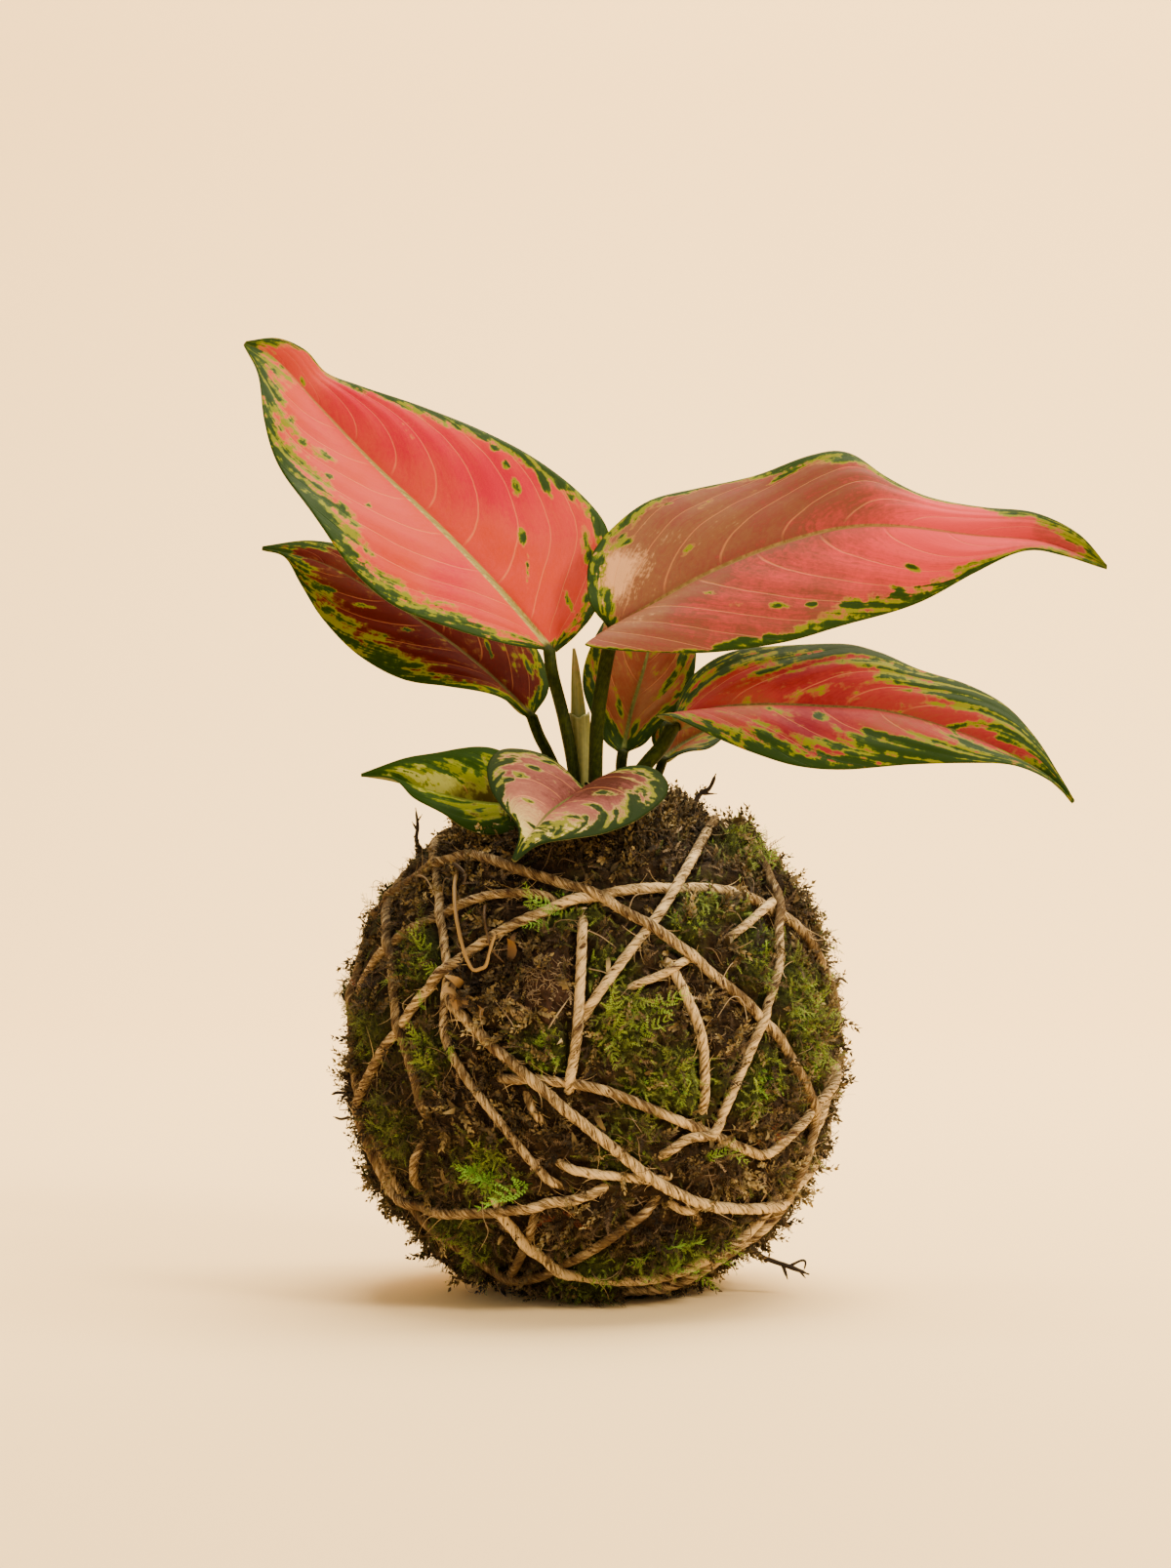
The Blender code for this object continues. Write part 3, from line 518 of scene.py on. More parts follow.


# the twine on the ball, from the lowest strand to the topmost; each has its points across and up in
# mm, as the camera sees them, how pale it is along its way, which is the twine's own uneven tone with
# painted shade in it, darker where the strand lies under the leaves and on the ball's left side, its
# share of the twine's full thickness, and how many degrees it goes on round the ball before its first
# point and after its last one; where that is 0, it sinks into the moss
strands = [
    ([(-48, 87), (-42.5, 90.5), (-36, 93.5), (-23.5, 97), (-12, 97), (-5, 95.5)],
     (0.3, 0.35, 0.4), 0.82, 140, 0),
    ([(-38.5, 109.5), (-39, 102), (-37.5, 90), (-36.5, 79.5), (-37.5, 71), (-36.5, 61.5), (-32, 53),
      (-24, 43), (-15, 31.5), (-5.5, 22)], (0.05, 0.1, 0.3, 0.5, 0.5, 0.45), 0.82, 130, 0),
    ([(-14.5, 20), (-15, 16), (-16, 12.5), (-19, 6)], (0.3, 0.2), 0.8, 0, 50),
    ([(-20, 51), (-17.5, 48), (-13.5, 41.5), (-11, 37)], (0.5, 0.6), 0.8, 0, 0),
    ([(24, 21), (26, 17), (28, 13)], (0.35, 0.2), 0.8, 0, 0),
    ([(14.5, 21.5), (20.5, 20), (29, 19)], (0.8, 0.7), 0.75, 0, 0),
    ([(-12.5, 31), (-3.5, 29), (8.5, 27), (22.5, 26.5)], (0.5, 0.8, 0.7), 0.85, 0, 0),
    ([(-56, 41), (-51, 29), (-43, 17.5), (-33, 10), (-25, 4.5), (-16, 3), (-7, 5.5), (1, 10), (9, 16),
      (18, 23)], (0.2, 0.1, 0.1, 0.15, 0.25, 0.3), 0.85, 90, 0),
    ([(7.5, 26), (-2, 23), (-10.5, 21.5), (-27.5, 19), (-42.5, 20), (-49, 24.5), (-54, 34.5), (-57, 45),
      (-54, 55), (-47.5, 65), (-35.5, 79), (-22.5, 88.5), (-5.5, 95.5), (9, 98.5), (27, 99),
      (43.5, 94.5), (54.5, 83.5), (59.5, 67.5), (59, 53.5), (54.5, 38.5), (47.5, 24), (38, 13.5), (29, 8),
      (22, 5), (14.5, 3), (6.5, 2), (-2.5, 3), (-9.5, 6), (-21, 16.5), (-27, 23)],
     (0.7, 0.4, 0.2, 0.15, 0.3, 0.4, 0.6, 0.8, 0.65, 0.3, 0.35, 0.7, 0.8, 0.9, 0.9, 0.85), 0.95, 0, 0),
    ([(-26, 51.5), (-19, 52), (-11.5, 51.5), (1.5, 49.5), (14.5, 44.5), (27, 39), (37.5, 34.5),
      (43, 33.5), (50.5, 40), (55, 45)], (0.4, 0.45, 0.6, 0.5, 0.3, 0.4, 0.45), 0.9, 0, 120),
    ([(17, 85.5), (21.5, 75.5), (26.5, 62.5), (27.5, 49), (27, 39)], (0.9, 0.95, 0.7, 0.9), 0.92, 0, 0),
    ([(46, 97), (38, 90), (31.5, 85.5)], (0.85, 0.95), 0.8, 0, 0),
    ([(28, 84.5), (22.5, 81), (16.5, 77.5), (5, 73.5)], (0.85, 1.0), 0.75, 0, 0),
    ([(30, 116.5), (28, 113), (24.5, 106.5), (17, 94), (6.5, 80), (-2, 68), (-4.5, 62)],
     (0.1, 0.25, 0.45, 0.85, 0.8), 0.9, 20, 0),
    ([(-2.5, 95), (-3, 81), (-4, 65), (-5, 57), (-7, 45)], (0.75, 0.85, 0.8, 0.6), 0.92, 0, 0),
    ([(-23, 73.5), (-20, 68.5), (-15, 63.5)], (0.6, 0.7), 0.72, 0, 0),
    ([(-44, 105.5), (-49.5, 97.5), (-50.5, 88), (-50, 81), (-47.5, 63), (-44.5, 53), (-42, 44), (-40.5, 38)],
     (0.1, 0.25, 0.35, 0.3, 0.25), 0.92, 120, 0),
    ([(-42.5, 38), (-44, 28.5), (-43, 21)], (0.3, 0.35), 0.8, 0, 0),
    ([(-38.5, 73.5), (-32, 67), (-25.5, 60.5), (-15, 52), (3, 36), (15, 27), (28, 21), (43.5, 20.5),
      (50, 25)],
     (0.4, 0.5, 0.7, 0.7, 0.75, 0.7, 0.5), 1.0, 0, 90),
    ([(-38, 105), (-30, 107), (-17.5, 103), (-2, 98), (12, 90.5), (25.5, 81), (38.5, 70.5), (49, 56.5),
      (54.5, 43), (52.5, 35), (49, 27), (45.5, 20), (39, 13)],
     (0.0, 0.05, 0.15, 0.35, 0.45, 0.4, 0.3, 0.55, 0.65), 0.95, 110, 60),
    ([(31, 114), (36, 111), (41, 106), (45, 94.5), (45.5, 79), (41, 64), (33, 45.5), (29.5, 39),
      (24, 37.5), (19, 34), (14, 29)], (0.1, 0.25, 0.4, 0.5, 0.85, 0.6, 0.6), 0.88, 0, 0),
]

# turns of which only the back half shows: the heading and rise of the plane's axis in degrees, its
# offset in mm, and how pale the twine is
backTurns = [
    (118, 46, -3, 0.65),
    (84, 47, 0, 0.55),
    (-147, 33, -2, 0.5),
    (173, 30, 0, 0.45),
    (-25, 72, 0, 0.35),
    (49, 43, 0, 0.6),
]

# in mm, but for fibreEvery, which is in steps, evenings, which is how often the height is evened out,
# and wander, drift, backSize and backFade, which are shares
winding = {
    "step": 0.7, "lift": 1.0, "dip": 0.8, "crossing": 3.0, "sink": 3.6, "sinkLength": 8.0,
    "below": 0.15, "uneven": 0.8, "fibreEvery": 3, "evenings": 5, "wander": 0.006, "drift": 0.16,
    "backSize": 0.9, "backFade": 0.1,
}


def sightTo(x, z):
    # where the camera is, and which way it looks to see that place
    camera = np.array([view["across"], -view["distance"], view["height"]])
    return camera, unit(np.array([x * mm, 0, z * mm]) - camera)


def seenAt(x, z):
    # the direction from the ball's centre of the spot on the twine's ball that the camera sees there
    camera, way = sightTo(x, z)
    middle = np.dot(ballCentre - camera, way)
    near, far = middle - 0.1, middle
    for _ in range(30):
        halfway = (near + far) / 2
        spot = camera + way * halfway - ballCentre
        if np.linalg.norm(spot) > ball["wrapRadius"] * ballSwell(unit(spot)):
            near = halfway
        else:
            far = halfway
    return unit(camera + way * far - ballCentre)


def spotAt(x, z, height):
    # the place that high above the twine's ball which the camera sees there, or level with the
    # ball's middle where its line of sight passes the ball by
    way = seenAt(x, z)
    spot = onBall(way, ball["wrapRadius"] + height * mm)
    camera, sight = sightTo(x, z)
    nearest = camera + sight * np.dot(spot - camera, sight)
    missed = np.linalg.norm(nearest - spot) > 1.2 * mm + abs(height) * mm
    return nearest if missed else spot


def strandWays(points, before, after):
    # directions from the ball's centre along a strand, with its way on round the ball at each end
    front = unit(smoothLine([seenAt(x, z) for x, z in points], 10))
    start = goingOn(front[0], front[2], before)[::-1]
    return evenWays(np.concatenate([start, front, goingOn(front[-1], front[-3], after)]))


def goingOn(last, previous, degrees):
    # straight on from there round the ball, but not back to its front
    onward = last - previous
    onward = unit(onward - last * np.dot(onward, last))
    angle = np.radians(np.arange(1, degrees + 1, 2))[:, None]
    ways = np.cos(angle) * last + np.sin(angle) * onward
    hidden = np.maximum.accumulate(ways[:, 1] > 0.1)
    return ways[~(hidden & (ways[:, 1] < 0.1))]


def backWays(heading, rise, offset):
    # the back half of a whole turn
    heading, rise = math.radians(heading), math.radians(rise)
    flat = math.cos(rise)
    axis = np.array([flat * math.cos(heading), flat * math.sin(heading), math.sin(rise)])
    first = unit(np.cross(axis, [0, 1, 0]))
    second = np.cross(first, axis)
    second = second * np.sign(second[1])
    share = offset * mm / ball["wrapRadius"]
    angle = np.radians(np.linspace(8, 172, 83))[:, None]
    halfTurn = np.cos(angle) * first + np.sin(angle) * second
    return evenWays(axis * share + halfTurn * math.sqrt(1 - share**2))


def evenWays(ways):
    # the same line with its points one step apart
    reach = lineLengths(ways)[-1] * ball["wrapRadius"] / mm
    return unit(readAlong(ways, np.linspace(0, 1, round(reach / winding["step"]))))


def wander(ways, seed):
    # a twine wound by hand is never quite straight
    side = unit(np.cross(ways, np.gradient(ways, axis=0)))
    return unit(ways + side * winding["wander"] * cloud(ways, 0.35, seed)[:, None])


def twineLines():
    # each strand's centre line, how pale it is along it with its painted shade, and its thickness, later ones
    # passing over
    ways, looks = [], []
    fade = winding["backFade"]
    for number, (heading, rise, offset, tone) in enumerate(backTurns):
        ways.append(wander(backWays(heading, rise, offset), 60 + number))
        looks.append(((tone, tone + fade, tone - fade), winding["backSize"]))
    for number, (points, tones, size, before, after) in enumerate(strands):
        ways.append(wander(strandWays(points, before, after), number))
        looks.append((tones, size))
    lines = []
    for here, way in enumerate(ways):
        lift = np.zeros(len(way))
        for other, across in enumerate(ways):
            near = (way @ across.T).max(axis=1) if other != here else np.full(len(way), -1)
            apart = np.arccos(np.clip(near, -1, 1)) * ball["wrapRadius"] / mm
            wave = np.exp(-((apart / winding["crossing"]) ** 2))
            if other < here:
                lift = np.maximum(lift, winding["lift"] * wave)
            else:
                lift = np.minimum(lift, np.where(lift > 0.3, lift, -winding["dip"] * wave))
        for _ in range(winding["evenings"]):
            lift = np.convolve(np.pad(lift, 1, "edge"), [0.25, 0.5, 0.25], "valid")
        reach = np.arange(len(way)) * winding["step"]
        sunk = winding["sink"] * (1 - ramp(np.minimum(reach, reach[-1] - reach), 0, winding["sinkLength"]))
        uneven = winding["uneven"] * cloud(way, 0.2, 90 + here) - winding["below"]
        tones, size = looks[here]
        tone = np.interp(np.linspace(0, 1, len(way)), np.linspace(0, 1, len(tones)), tones)
        tone = np.clip(tone + winding["drift"] * cloud(way, 0.12, 30 + here), 0, 1)
        lines.append((onBall(way, ball["wrapRadius"] + mm * (lift + uneven - sunk)), tone, size))
    return lines


def treeOf(points):
    tree = kdtree.KDTree(len(points))
    for number, point in enumerate(points):
        tree.insert(point, number)
    tree.balance()
    return tree


def distances(tree, points):
    # how far each point is from the nearest of the tree's
    return np.array([tree.find(point)[2] for point in points])


def makeWraps(material, lines):
    # all the strands, in three pieces, and their loose fibres
    draw = np.random.default_rng(21)
    groups = [[], [], []]
    fuzz = []
    for number, (path, tone, size) in enumerate(lines):
        outward = unit(path - ballCentre)
        path[:, 2] = np.maximum(path[:, 2], jute["radius"] + 0.2 * mm)
        group = groups[number % 3]
        row = len(group)
        window = (0, row / 10, 1, (row + 0.92) / 10)
        group.append(twinePart(path, outward, False, tone, window, size))
        fuzz += fuzzParts(path, draw, len(path) // winding["fibreEvery"], tone.mean(), jute["woundFuzz"])
    for number, group in enumerate(groups):
        addPart(f"twine_wraps_{number + 1}", joined(group), material, "jute", "twine_wraps")
    addPart("twine_wraps_fibres", joined(fuzz), material, "jute", "twine_wraps")
    print(f"twine wound round the ball: {len(lines)} strands")


# where moss of each kind shows from the front: heading and tilt in degrees, size in mm
greenPatches = [
    (-116, 115, 8), (-83, 82, 9), (-34, 79, 9), (-58, 140, 9), (-137, 67, 8), (-97, 55, 6), (-59, 53, 7),
    (-72, 95, 10), (-79, 97, 7), (-49, 96, 7), (-153, 86, 8), (-101, 88, 6), (-130, 89, 7), (-26, 39, 7),
    (-87, 71, 6), (-43, 70, 8), (-83, 112, 6), (-136, 135, 8), (-93, 147, 8), (-67, 60, 6), (-45, 58, 6),
    (-30, 92, 6), (-147, 108, 9),
]
brownPatches = [
    (-101, 71, 9), (-115, 73, 8), (-119, 99, 10), (-60, 116, 9), (-92, 125, 6), (-44, 107, 8), (-116, 48, 8),
    (-75, 33, 10), (-106, 110, 8), (-71, 127, 6), (-137, 53, 7), (-57, 82, 6), (-72, 77, 5),
]


def patchShare(ways, patches):
    # how much of a patch there is there, from 0 to 1
    share = np.zeros(len(ways))
    for heading, tilt, size in patches:
        apart = np.arccos(np.clip(ways @ ballWay(heading, tilt), -1, 1)) * ball["wrapRadius"] / mm
        share = np.maximum(share, np.exp(-((apart / size) ** 2)))
    return share


def greenness(ways):
    # how green the moss is there: 0 is bare brown peat, 1 is fresh moss
    front = ramp(-ways[:, 1], 0.05, 0.4)
    drift = 0.42 + 0.30 * cloud(ways, 0.42, 7) + 0.26 * cloud(ways, 0.17, 8)
    seen = 0.34 + 0.75 * patchShare(ways, greenPatches) - 0.55 * patchShare(ways, brownPatches)
    seen = seen + 0.12 * cloud(ways, 0.12, 9)
    rim = 0.30 * ramp(ways[:, 2], 0.80, 0.93)
    return np.clip(drift * (1 - 0.75 * front) + seen * 0.75 * front - rim, 0, 1)


def bedRadius(ways, tree):
    # the matted moss and peat that the fronds grow on, pressed in under the twine
    apart = distances(tree, onBall(ways, np.full(len(ways), ball["wrapRadius"]))) / mm
    rise = ramp(apart, ball["pressed"], ball["shoulder"])
    uneven = 0.62 + 0.45 * cloud(ways, 0.15, 11) + 0.45 * ramp(greenness(ways), 0.35, 0.8)
    lumps = 1.3 * cloud(ways, 0.07, 12) + 0.7 * cloud(ways, 0.03, 13)
    return ball["bedRadius"] + ball["bedBulge"] * rise * uneven + lumps * mm * (0.4 + 0.6 * rise), apart


def peatMaterial(name, tint, low=(0.003, 0.002, 0.001), high=(0.045, 0.027, 0.013)):
    # crumbly peat between two colours, with as much green over it as tint and the mesh say
    material, start, fill = newMaterial(name, Roughness=0.95, Specular_IOR_Level=0.15)
    place = start.place()
    grain = start.speckle(place, 900.0, 4.0, 0.65)
    clods = start.speckle(place, 260.0, 3.0)
    peat = (grain * 0.6 + clods * 0.6).rise(0.35, 0.85).blend(low, high)
    moss = grain.rise(0.3, 0.75).blend((0.006, 0.009, 0.002), (0.045, 0.062, 0.008))
    cover = (start.mark("tone") + (clods - 0.5) * 0.8).rise(0.35, 0.75)
    fill(Base_Color=(cover * tint).blend(peat, moss), Normal=start.bump(grain + clods, 0.0012, 1.0))
    return material


# tilts are measured from straight up in degrees: of the moss at the opening round the stems and at
# the foot, of the lip that turns in there, and of the soil's edge; drops and sizes are in mm
ground = {
    "openingTilt": 15.5, "footTilt": 166, "bedTilts": (166, 13.5), "lip": (18.5, 13.5), "lipDrop": 7,
    "bedSides": 380, "bedRows": 240, "bedGreen": 0.9,
    "soilTilts": (17.5, 0.3), "soilEdge": (16.6, 17.5), "edgeDrop": 3,
    "soilSides": 160, "soilRows": 60, "soilGreen": 0.15,
    "crumbs": 260, "crumbTilt": 17, "crumbSize": (0.4, 1.3), "crumbHeight": 0.8, "crumbGreen": 0.2,
}


def roundWays(sides, rows, tilts):
    # rings of directions from one tilt to another, and the tilts
    tilts = np.linspace(*tilts, rows)
    return ballWay((360 * np.arange(sides) / sides)[None], tilts[:, None]), tilts


def makeBed(tree):
    # the mat of moss and peat under the fronds, turned in at the opening
    sides, rows = ground["bedSides"], ground["bedRows"]
    ways, tilts = roundWays(sides, rows, ground["bedTilts"])
    radius, _ = bedRadius(ways.reshape(-1, 3), tree)
    radius = radius.reshape(rows, sides)
    rings = onBall(ways, radius - ground["lipDrop"] * mm * ramp(tilts, *ground["lip"])[:, None])
    rings[..., 2] = np.maximum(rings[..., 2], 0.0)
    tone = greenness(ways.reshape(-1, 3)).reshape(rows, sides)
    peat = peatMaterial("mossy_peat", ground["bedGreen"])
    addPart("moss_bed", sweep(rings, marks={"tone": tone}), peat, "moss", "moss_layer")


def makeSoil():
    # the crumbly top of the soil, seen among the stems
    sides, rows = ground["soilSides"], ground["soilRows"]
    ways, tilts = roundWays(sides, rows, ground["soilTilts"])
    flat = ways.reshape(-1, 3)
    lumps = (0.7 * cloud(flat, 0.05, 31) + 0.4 * cloud(flat, 0.02, 32)).reshape(rows, sides)
    drop = ground["edgeDrop"] * mm * ramp(tilts, *ground["soilEdge"])[:, None]
    rings = onBall(ways, ball["soilRadius"] + lumps * mm - drop)
    part = sweep(rings, marks={"tone": np.zeros((rows, sides))})
    addPart("soil_top", part, peatMaterial("potting_soil", ground["soilGreen"]), "soil", "soil_core")
    draw = np.random.default_rng(33)
    crumbs = []
    angle = roundAngles(7)
    for _ in range(ground["crumbs"]):
        way = ballWay(draw.uniform(0, 360), ground["crumbTilt"] * math.sqrt(draw.uniform()))
        height = draw.uniform(0, ground["crumbHeight"]) * mm
        spot = onBall(way, np.array(ball["soilRadius"] + height))
        size = draw.uniform(*ground["crumbSize"]) * mm
        rings = []
        for polar in np.linspace(0, np.pi, 6)[1:-1]:
            bumpy = size * (1 + 0.35 * draw.uniform(-1, 1, 7))
            level = [np.sin(polar) * np.cos(angle) * bumpy, np.sin(polar) * np.sin(angle) * bumpy]
            rings.append(np.stack([*level, -np.cos(polar) * bumpy * 0.7], -1) + spot)
        crumbs.append(sweep(np.array(rings), marks={"tone": np.full((4, 7), draw.uniform(0, 0.5))}))
    peat = peatMaterial("soil_crumbs", ground["crumbGreen"])
    addPart("soil_crumbs", joined(crumbs), peat, "soil", "soil_core")
    print("soil made")


def leaflet(base, way, up, length, width):
    # a pointed scale of two triangles, a little folded
    side = np.cross(up, way) * width / 2
    middle = base + way * length * 0.42 + up * width * 0.25
    return np.array([base, middle - side, base + way * length, middle + side]), [(0, 1, 2), (0, 2, 3)]


def needle(base, way, side, length, width):
    # a narrow pointed leaf of one triangle
    return np.array([base - side * width / 2, base + way * length, base + side * width / 2]), [(0, 1, 2)]


class Shape:
    # a small thing to be copied over the ball: corners, triangles and how far out each corner is
    def __init__(self):
        self.points, self.faces, self.tips = [], [], []

    def add(self, points, faces, tips):
        self.faces += [tuple(np.array(face) + len(self.points)) for face in faces]
        self.points += list(points)
        self.tips += list(tips)

    def addTube(self, line, radii, tips):
        rings = tubeRings(line, radii, 3)
        corners = [(3 * i + k, 3 * i + (k + 1) % 3) for i in range(len(line) - 1) for k in range(3)]
        faces = [face for a, b in corners for face in ((a, b, b + 3), (a, b + 3, a + 3))]
        self.add(rings.reshape(-1, 3), faces, np.repeat(tips, 3))

    def arrays(self):
        return np.array(self.points), np.array(self.faces), np.array(self.tips)


def sidesOf(way):
    # the level side of that way, and its upper side
    side = unit(np.cross([0, 0, 1], way))
    return side, np.cross(way, side)


def stemAxes(spot, x):
    # the way, side and upper side of a bent stem there
    way = unit(spot(x + 0.02) - spot(x))
    return way, *sidesOf(way)


def frondShape(draw, pairs, length, width, stem=0.012, folded=True):
    # one frond, a unit long and lying along +X: a stem with pairs of leaflets that shorten to the tip
    bend, lift, drop = draw.uniform(-0.35, 0.35), draw.uniform(0.05, 0.5), draw.uniform(0.1, 0.7)

    def spot(x):
        return np.array([x * (1 - 0.12 * abs(bend)), bend * x * x, lift * x - drop * x * x])

    shape = Shape()
    for x in np.linspace(0.08, 0.96, pairs):
        way, side, up = stemAxes(spot, x)
        taper = (1 - 0.65 * x) * (0.55 + 0.45 * min(1, x / 0.2))
        foot, tip = x * 0.6, min(1, x * 0.6 + 0.45)
        for hand in (-1, 1):
            opening = math.radians(draw.uniform(42, 66) - 18 * x)
            level = way * math.cos(opening) + side * hand * math.sin(opening)
            lean = unit(level + up * draw.uniform(0.0, 0.55))
            long = length * taper * draw.uniform(0.75, 1.2)
            if folded:
                shape.add(*leaflet(spot(x), lean, up, long, width), [foot, foot + 0.2, tip, foot + 0.2])
            else:
                shape.add(*needle(spot(x), lean, way, long, width), [foot, tip, foot])
    joints = 4 if folded else 2
    line = np.array([spot(x) for x in np.linspace(0, 1, joints + 1)])
    shape.addTube(line, np.linspace(1, 0.2, joints + 1) * stem, np.linspace(0, 0.6, joints + 1))
    return shape.arrays()


def tuftShape(draw, leaves):
    # an upright shoot of cushion moss, a unit high along +X, with narrow leaves all round
    shape = Shape()
    for number in range(leaves):
        share = (number + 0.5) / leaves
        turn = number * 2.4 + draw.uniform(-0.3, 0.3)
        out = np.array([0, math.cos(turn), math.sin(turn)])
        way = unit(out * (1.0 - 0.55 * share) + np.array([0.45 + 0.75 * share, 0, 0]))
        foot = np.array([0.62 * share, 0, 0])
        leaf = needle(foot, way, np.cross(way, out), draw.uniform(0.38, 0.55), 0.15)
        shape.add(*leaf, [0.45 * share, 0.45 + 0.55 * share, 0.45 * share])
    return shape.arrays()


def sprigShape(draw, leaves):
    # a bent shoot, a unit long from its foot, thick with overlapping scales
    bend, drop = draw.uniform(-0.45, 0.45), draw.uniform(-0.1, 0.5)

    def spot(x):
        return np.array([x * (1 - 0.3 * abs(bend)), bend * x * x, 0.25 * x - drop * x * x])

    shape = Shape()
    for number in range(leaves):
        x = (number + 0.3) / leaves
        way, side, upper = stemAxes(spot, x)
        turn = number * 2.4 + draw.uniform(-0.4, 0.4)
        out = side * math.cos(turn) + upper * math.sin(turn)
        lean = unit(way * draw.uniform(0.7, 1.2) + out * 0.75)
        up = unit(out - lean * np.dot(out, lean))
        long = draw.uniform(0.24, 0.36) * (1 - 0.45 * x)
        tips = [0.5 * x, 0.5 * x + 0.25, min(1, 0.5 * x + 0.5), 0.5 * x + 0.25]
        shape.add(*leaflet(spot(x), lean, up, long, 0.19 * (1 - 0.5 * x)), tips)
    return shape.arrays()


def shredShape(draw):
    # a dry curled leaf of dead moss, a unit long
    steps = 6
    curl, twist = draw.uniform(1.2, 3.6) * draw.choice([-1, 1]), draw.uniform(-1.5, 1.5)
    width, angle, spot = draw.uniform(0.10, 0.17), -0.35 * draw.uniform(0, 1), np.zeros(3)
    shape = Shape()
    for step in range(steps + 1):
        t = step / steps
        across = np.array([0, math.cos(twist * t), math.sin(twist * t)])
        wide = width * math.sin(math.pi * (0.12 + 0.86 * t)) ** 0.7
        shape.add([spot - across * wide, spot + across * wide], [], [t, t])
        angle += curl / steps * (0.4 + 1.2 * t)
        spot = spot + np.array([math.cos(angle), 0.25 * math.sin(2 * angle), math.sin(angle)]) * 0.9 / steps
    shape.faces = [face for a in range(0, 2 * steps, 2) for face in ((a, a + 1, a + 3), (a, a + 3, a + 2))]
    return shape.arrays()


def plumeShape(draw, branches):
    # a larger feathery frond: a stem with pairs of small fronds
    shape = Shape()
    shape.add(*frondShape(draw, 4, 0.06, 0.03, stem=0.014))
    bend, lift, drop = draw.uniform(-0.2, 0.2), draw.uniform(0.1, 0.35), draw.uniform(0.1, 0.45)
    for x in np.linspace(0.1, 0.98, branches):
        for hand in (-1, 1):
            small, faces, tips = frondShape(draw, 6, 0.26, 0.11, stem=0.03)
            opening = hand * math.radians(draw.uniform(48, 64) - 22 * x)
            size = 0.40 * (1 - 0.72 * x) * draw.uniform(0.8, 1.15)
            cosine, sine = math.cos(opening), math.sin(opening)
            turned = small @ np.array([[cosine, sine, 0.12], [-sine, cosine, 0], [0, 0, 1]])
            base = np.array([x, bend * x * x, lift * x - drop * x * x])
            shape.add(base + turned * size, faces, np.clip(0.15 + 0.5 * x + tips * 0.45, 0, 1))
    return shape.arrays()


def fibreShape(draw, thick):
    # a bent root, stalk or shred of dead moss, a unit long
    t = np.linspace(0, 1, 7)
    swing, wave = draw.normal(size=2) * 0.30, draw.normal(size=2) * 0.10
    level = swing[0] * t**2 + wave[0] * np.sin(6 * t)
    height = 0.35 * np.sin(np.pi * t) + wave[1] * np.sin(5 * t) + swing[1] * 0.5 * t**2
    shape = Shape()
    shape.addTube(np.stack([t, level, height], -1), thick * (1.05 - t * 0.85), t)
    shape.faces += [(2, 1, 0), (18, 19, 20)]
    return shape.arrays()


def scatter(name, shapes, spots, forwards, ups, sizes, tones, material):
    # copies of the shapes, each with its own place, way, size and tone, as one piece
    points, faces, layout = [], [], []
    count = 0
    for number, (shape, triangles, tips) in enumerate(shapes):
        mine = np.arange(number, len(spots), len(shapes))
        side = np.cross(ups[mine], forwards[mine])
        turned = shape[None, :, :1] * forwards[mine, None] + shape[None, :, 1:2] * side[:, None]
        turned = turned + shape[None, :, 2:] * ups[mine, None]
        placed = spots[mine, None] + sizes[mine, None, None] * turned
        points.append(placed.reshape(-1, 3))
        starts = count + len(shape) * np.arange(len(mine))
        faces.append((triangles[None] + starts[:, None, None]).reshape(-1, 3))
        corner = np.arange(len(shape))
        # the map's second way is how far out each corner is, which the material paints dark at the foot as
        # painted shade and pale at the tip as painted light
        u = np.clip(tones[mine, None] + 0.012 * np.sin(7.0 * corner)[None], 0.01, 0.99)
        v = np.broadcast_to(np.clip(tips + 0.01 * np.cos(5.0 * corner), 0.01, 0.99), u.shape)
        layout.append(np.stack([u, v], -1).reshape(-1, 2))
        count += placed.shape[0] * placed.shape[1]
    points, faces, layout = np.concatenate(points), np.concatenate(faces), np.concatenate(layout)
    points[:, 2] = np.maximum(points[:, 2], 0.0003)
    piece = addPiece(name, points, [faces], material, layout[faces.ravel()], {}, smooth=False)
    return settle(piece, "moss", "moss_layer")


def mossMaterial(name):
    # the colour runs along the map's first way by tone; along its second way it goes from painted shade, dark
    # at the foot of each growth, to painted light, paler towards the tips
    stops, light, roughness = mossTints[name]
    material, start, fill = newMaterial(name, Roughness=roughness, Specular_IOR_Level=0.3)
    spot = start.node("ShaderNodeUVMap", {"uv_map": "OFBake"})
    parts = start.node("ShaderNodeSeparateXYZ", {}, {0: spot})
    along = Wire(start.tree, parts.socket.node.outputs[1])
    colour = start.node("ShaderNodeValToRGB", {"stops": stops}, {"Fac": parts})
    # painted shade at the foot of each growth, painted light at its tips
    foot, tip = colour.scaled(0.22, 0.20, 0.20), colour.scaled(light, light, light)
    fill(Base_Color=along.rise(0.0, 0.9).blend(foot, tip))
    return material


def spread(draw, count):
    # directions spread evenly over the ball, with its opening and flat spot left free
    turn = np.arange(count) * math.pi * (3 - math.sqrt(5)) + draw.normal(size=count) * 0.6
    high, low = (math.cos(math.radians(ground[tilt])) for tilt in ("openingTilt", "footTilt"))
    height = np.clip(high + (low - high) * (np.arange(count) + draw.uniform(0, 1, count)) / count, low, high)
    flat = np.sqrt(1 - height**2)
    return np.stack([flat * np.cos(turn), flat * np.sin(turn), height], -1)


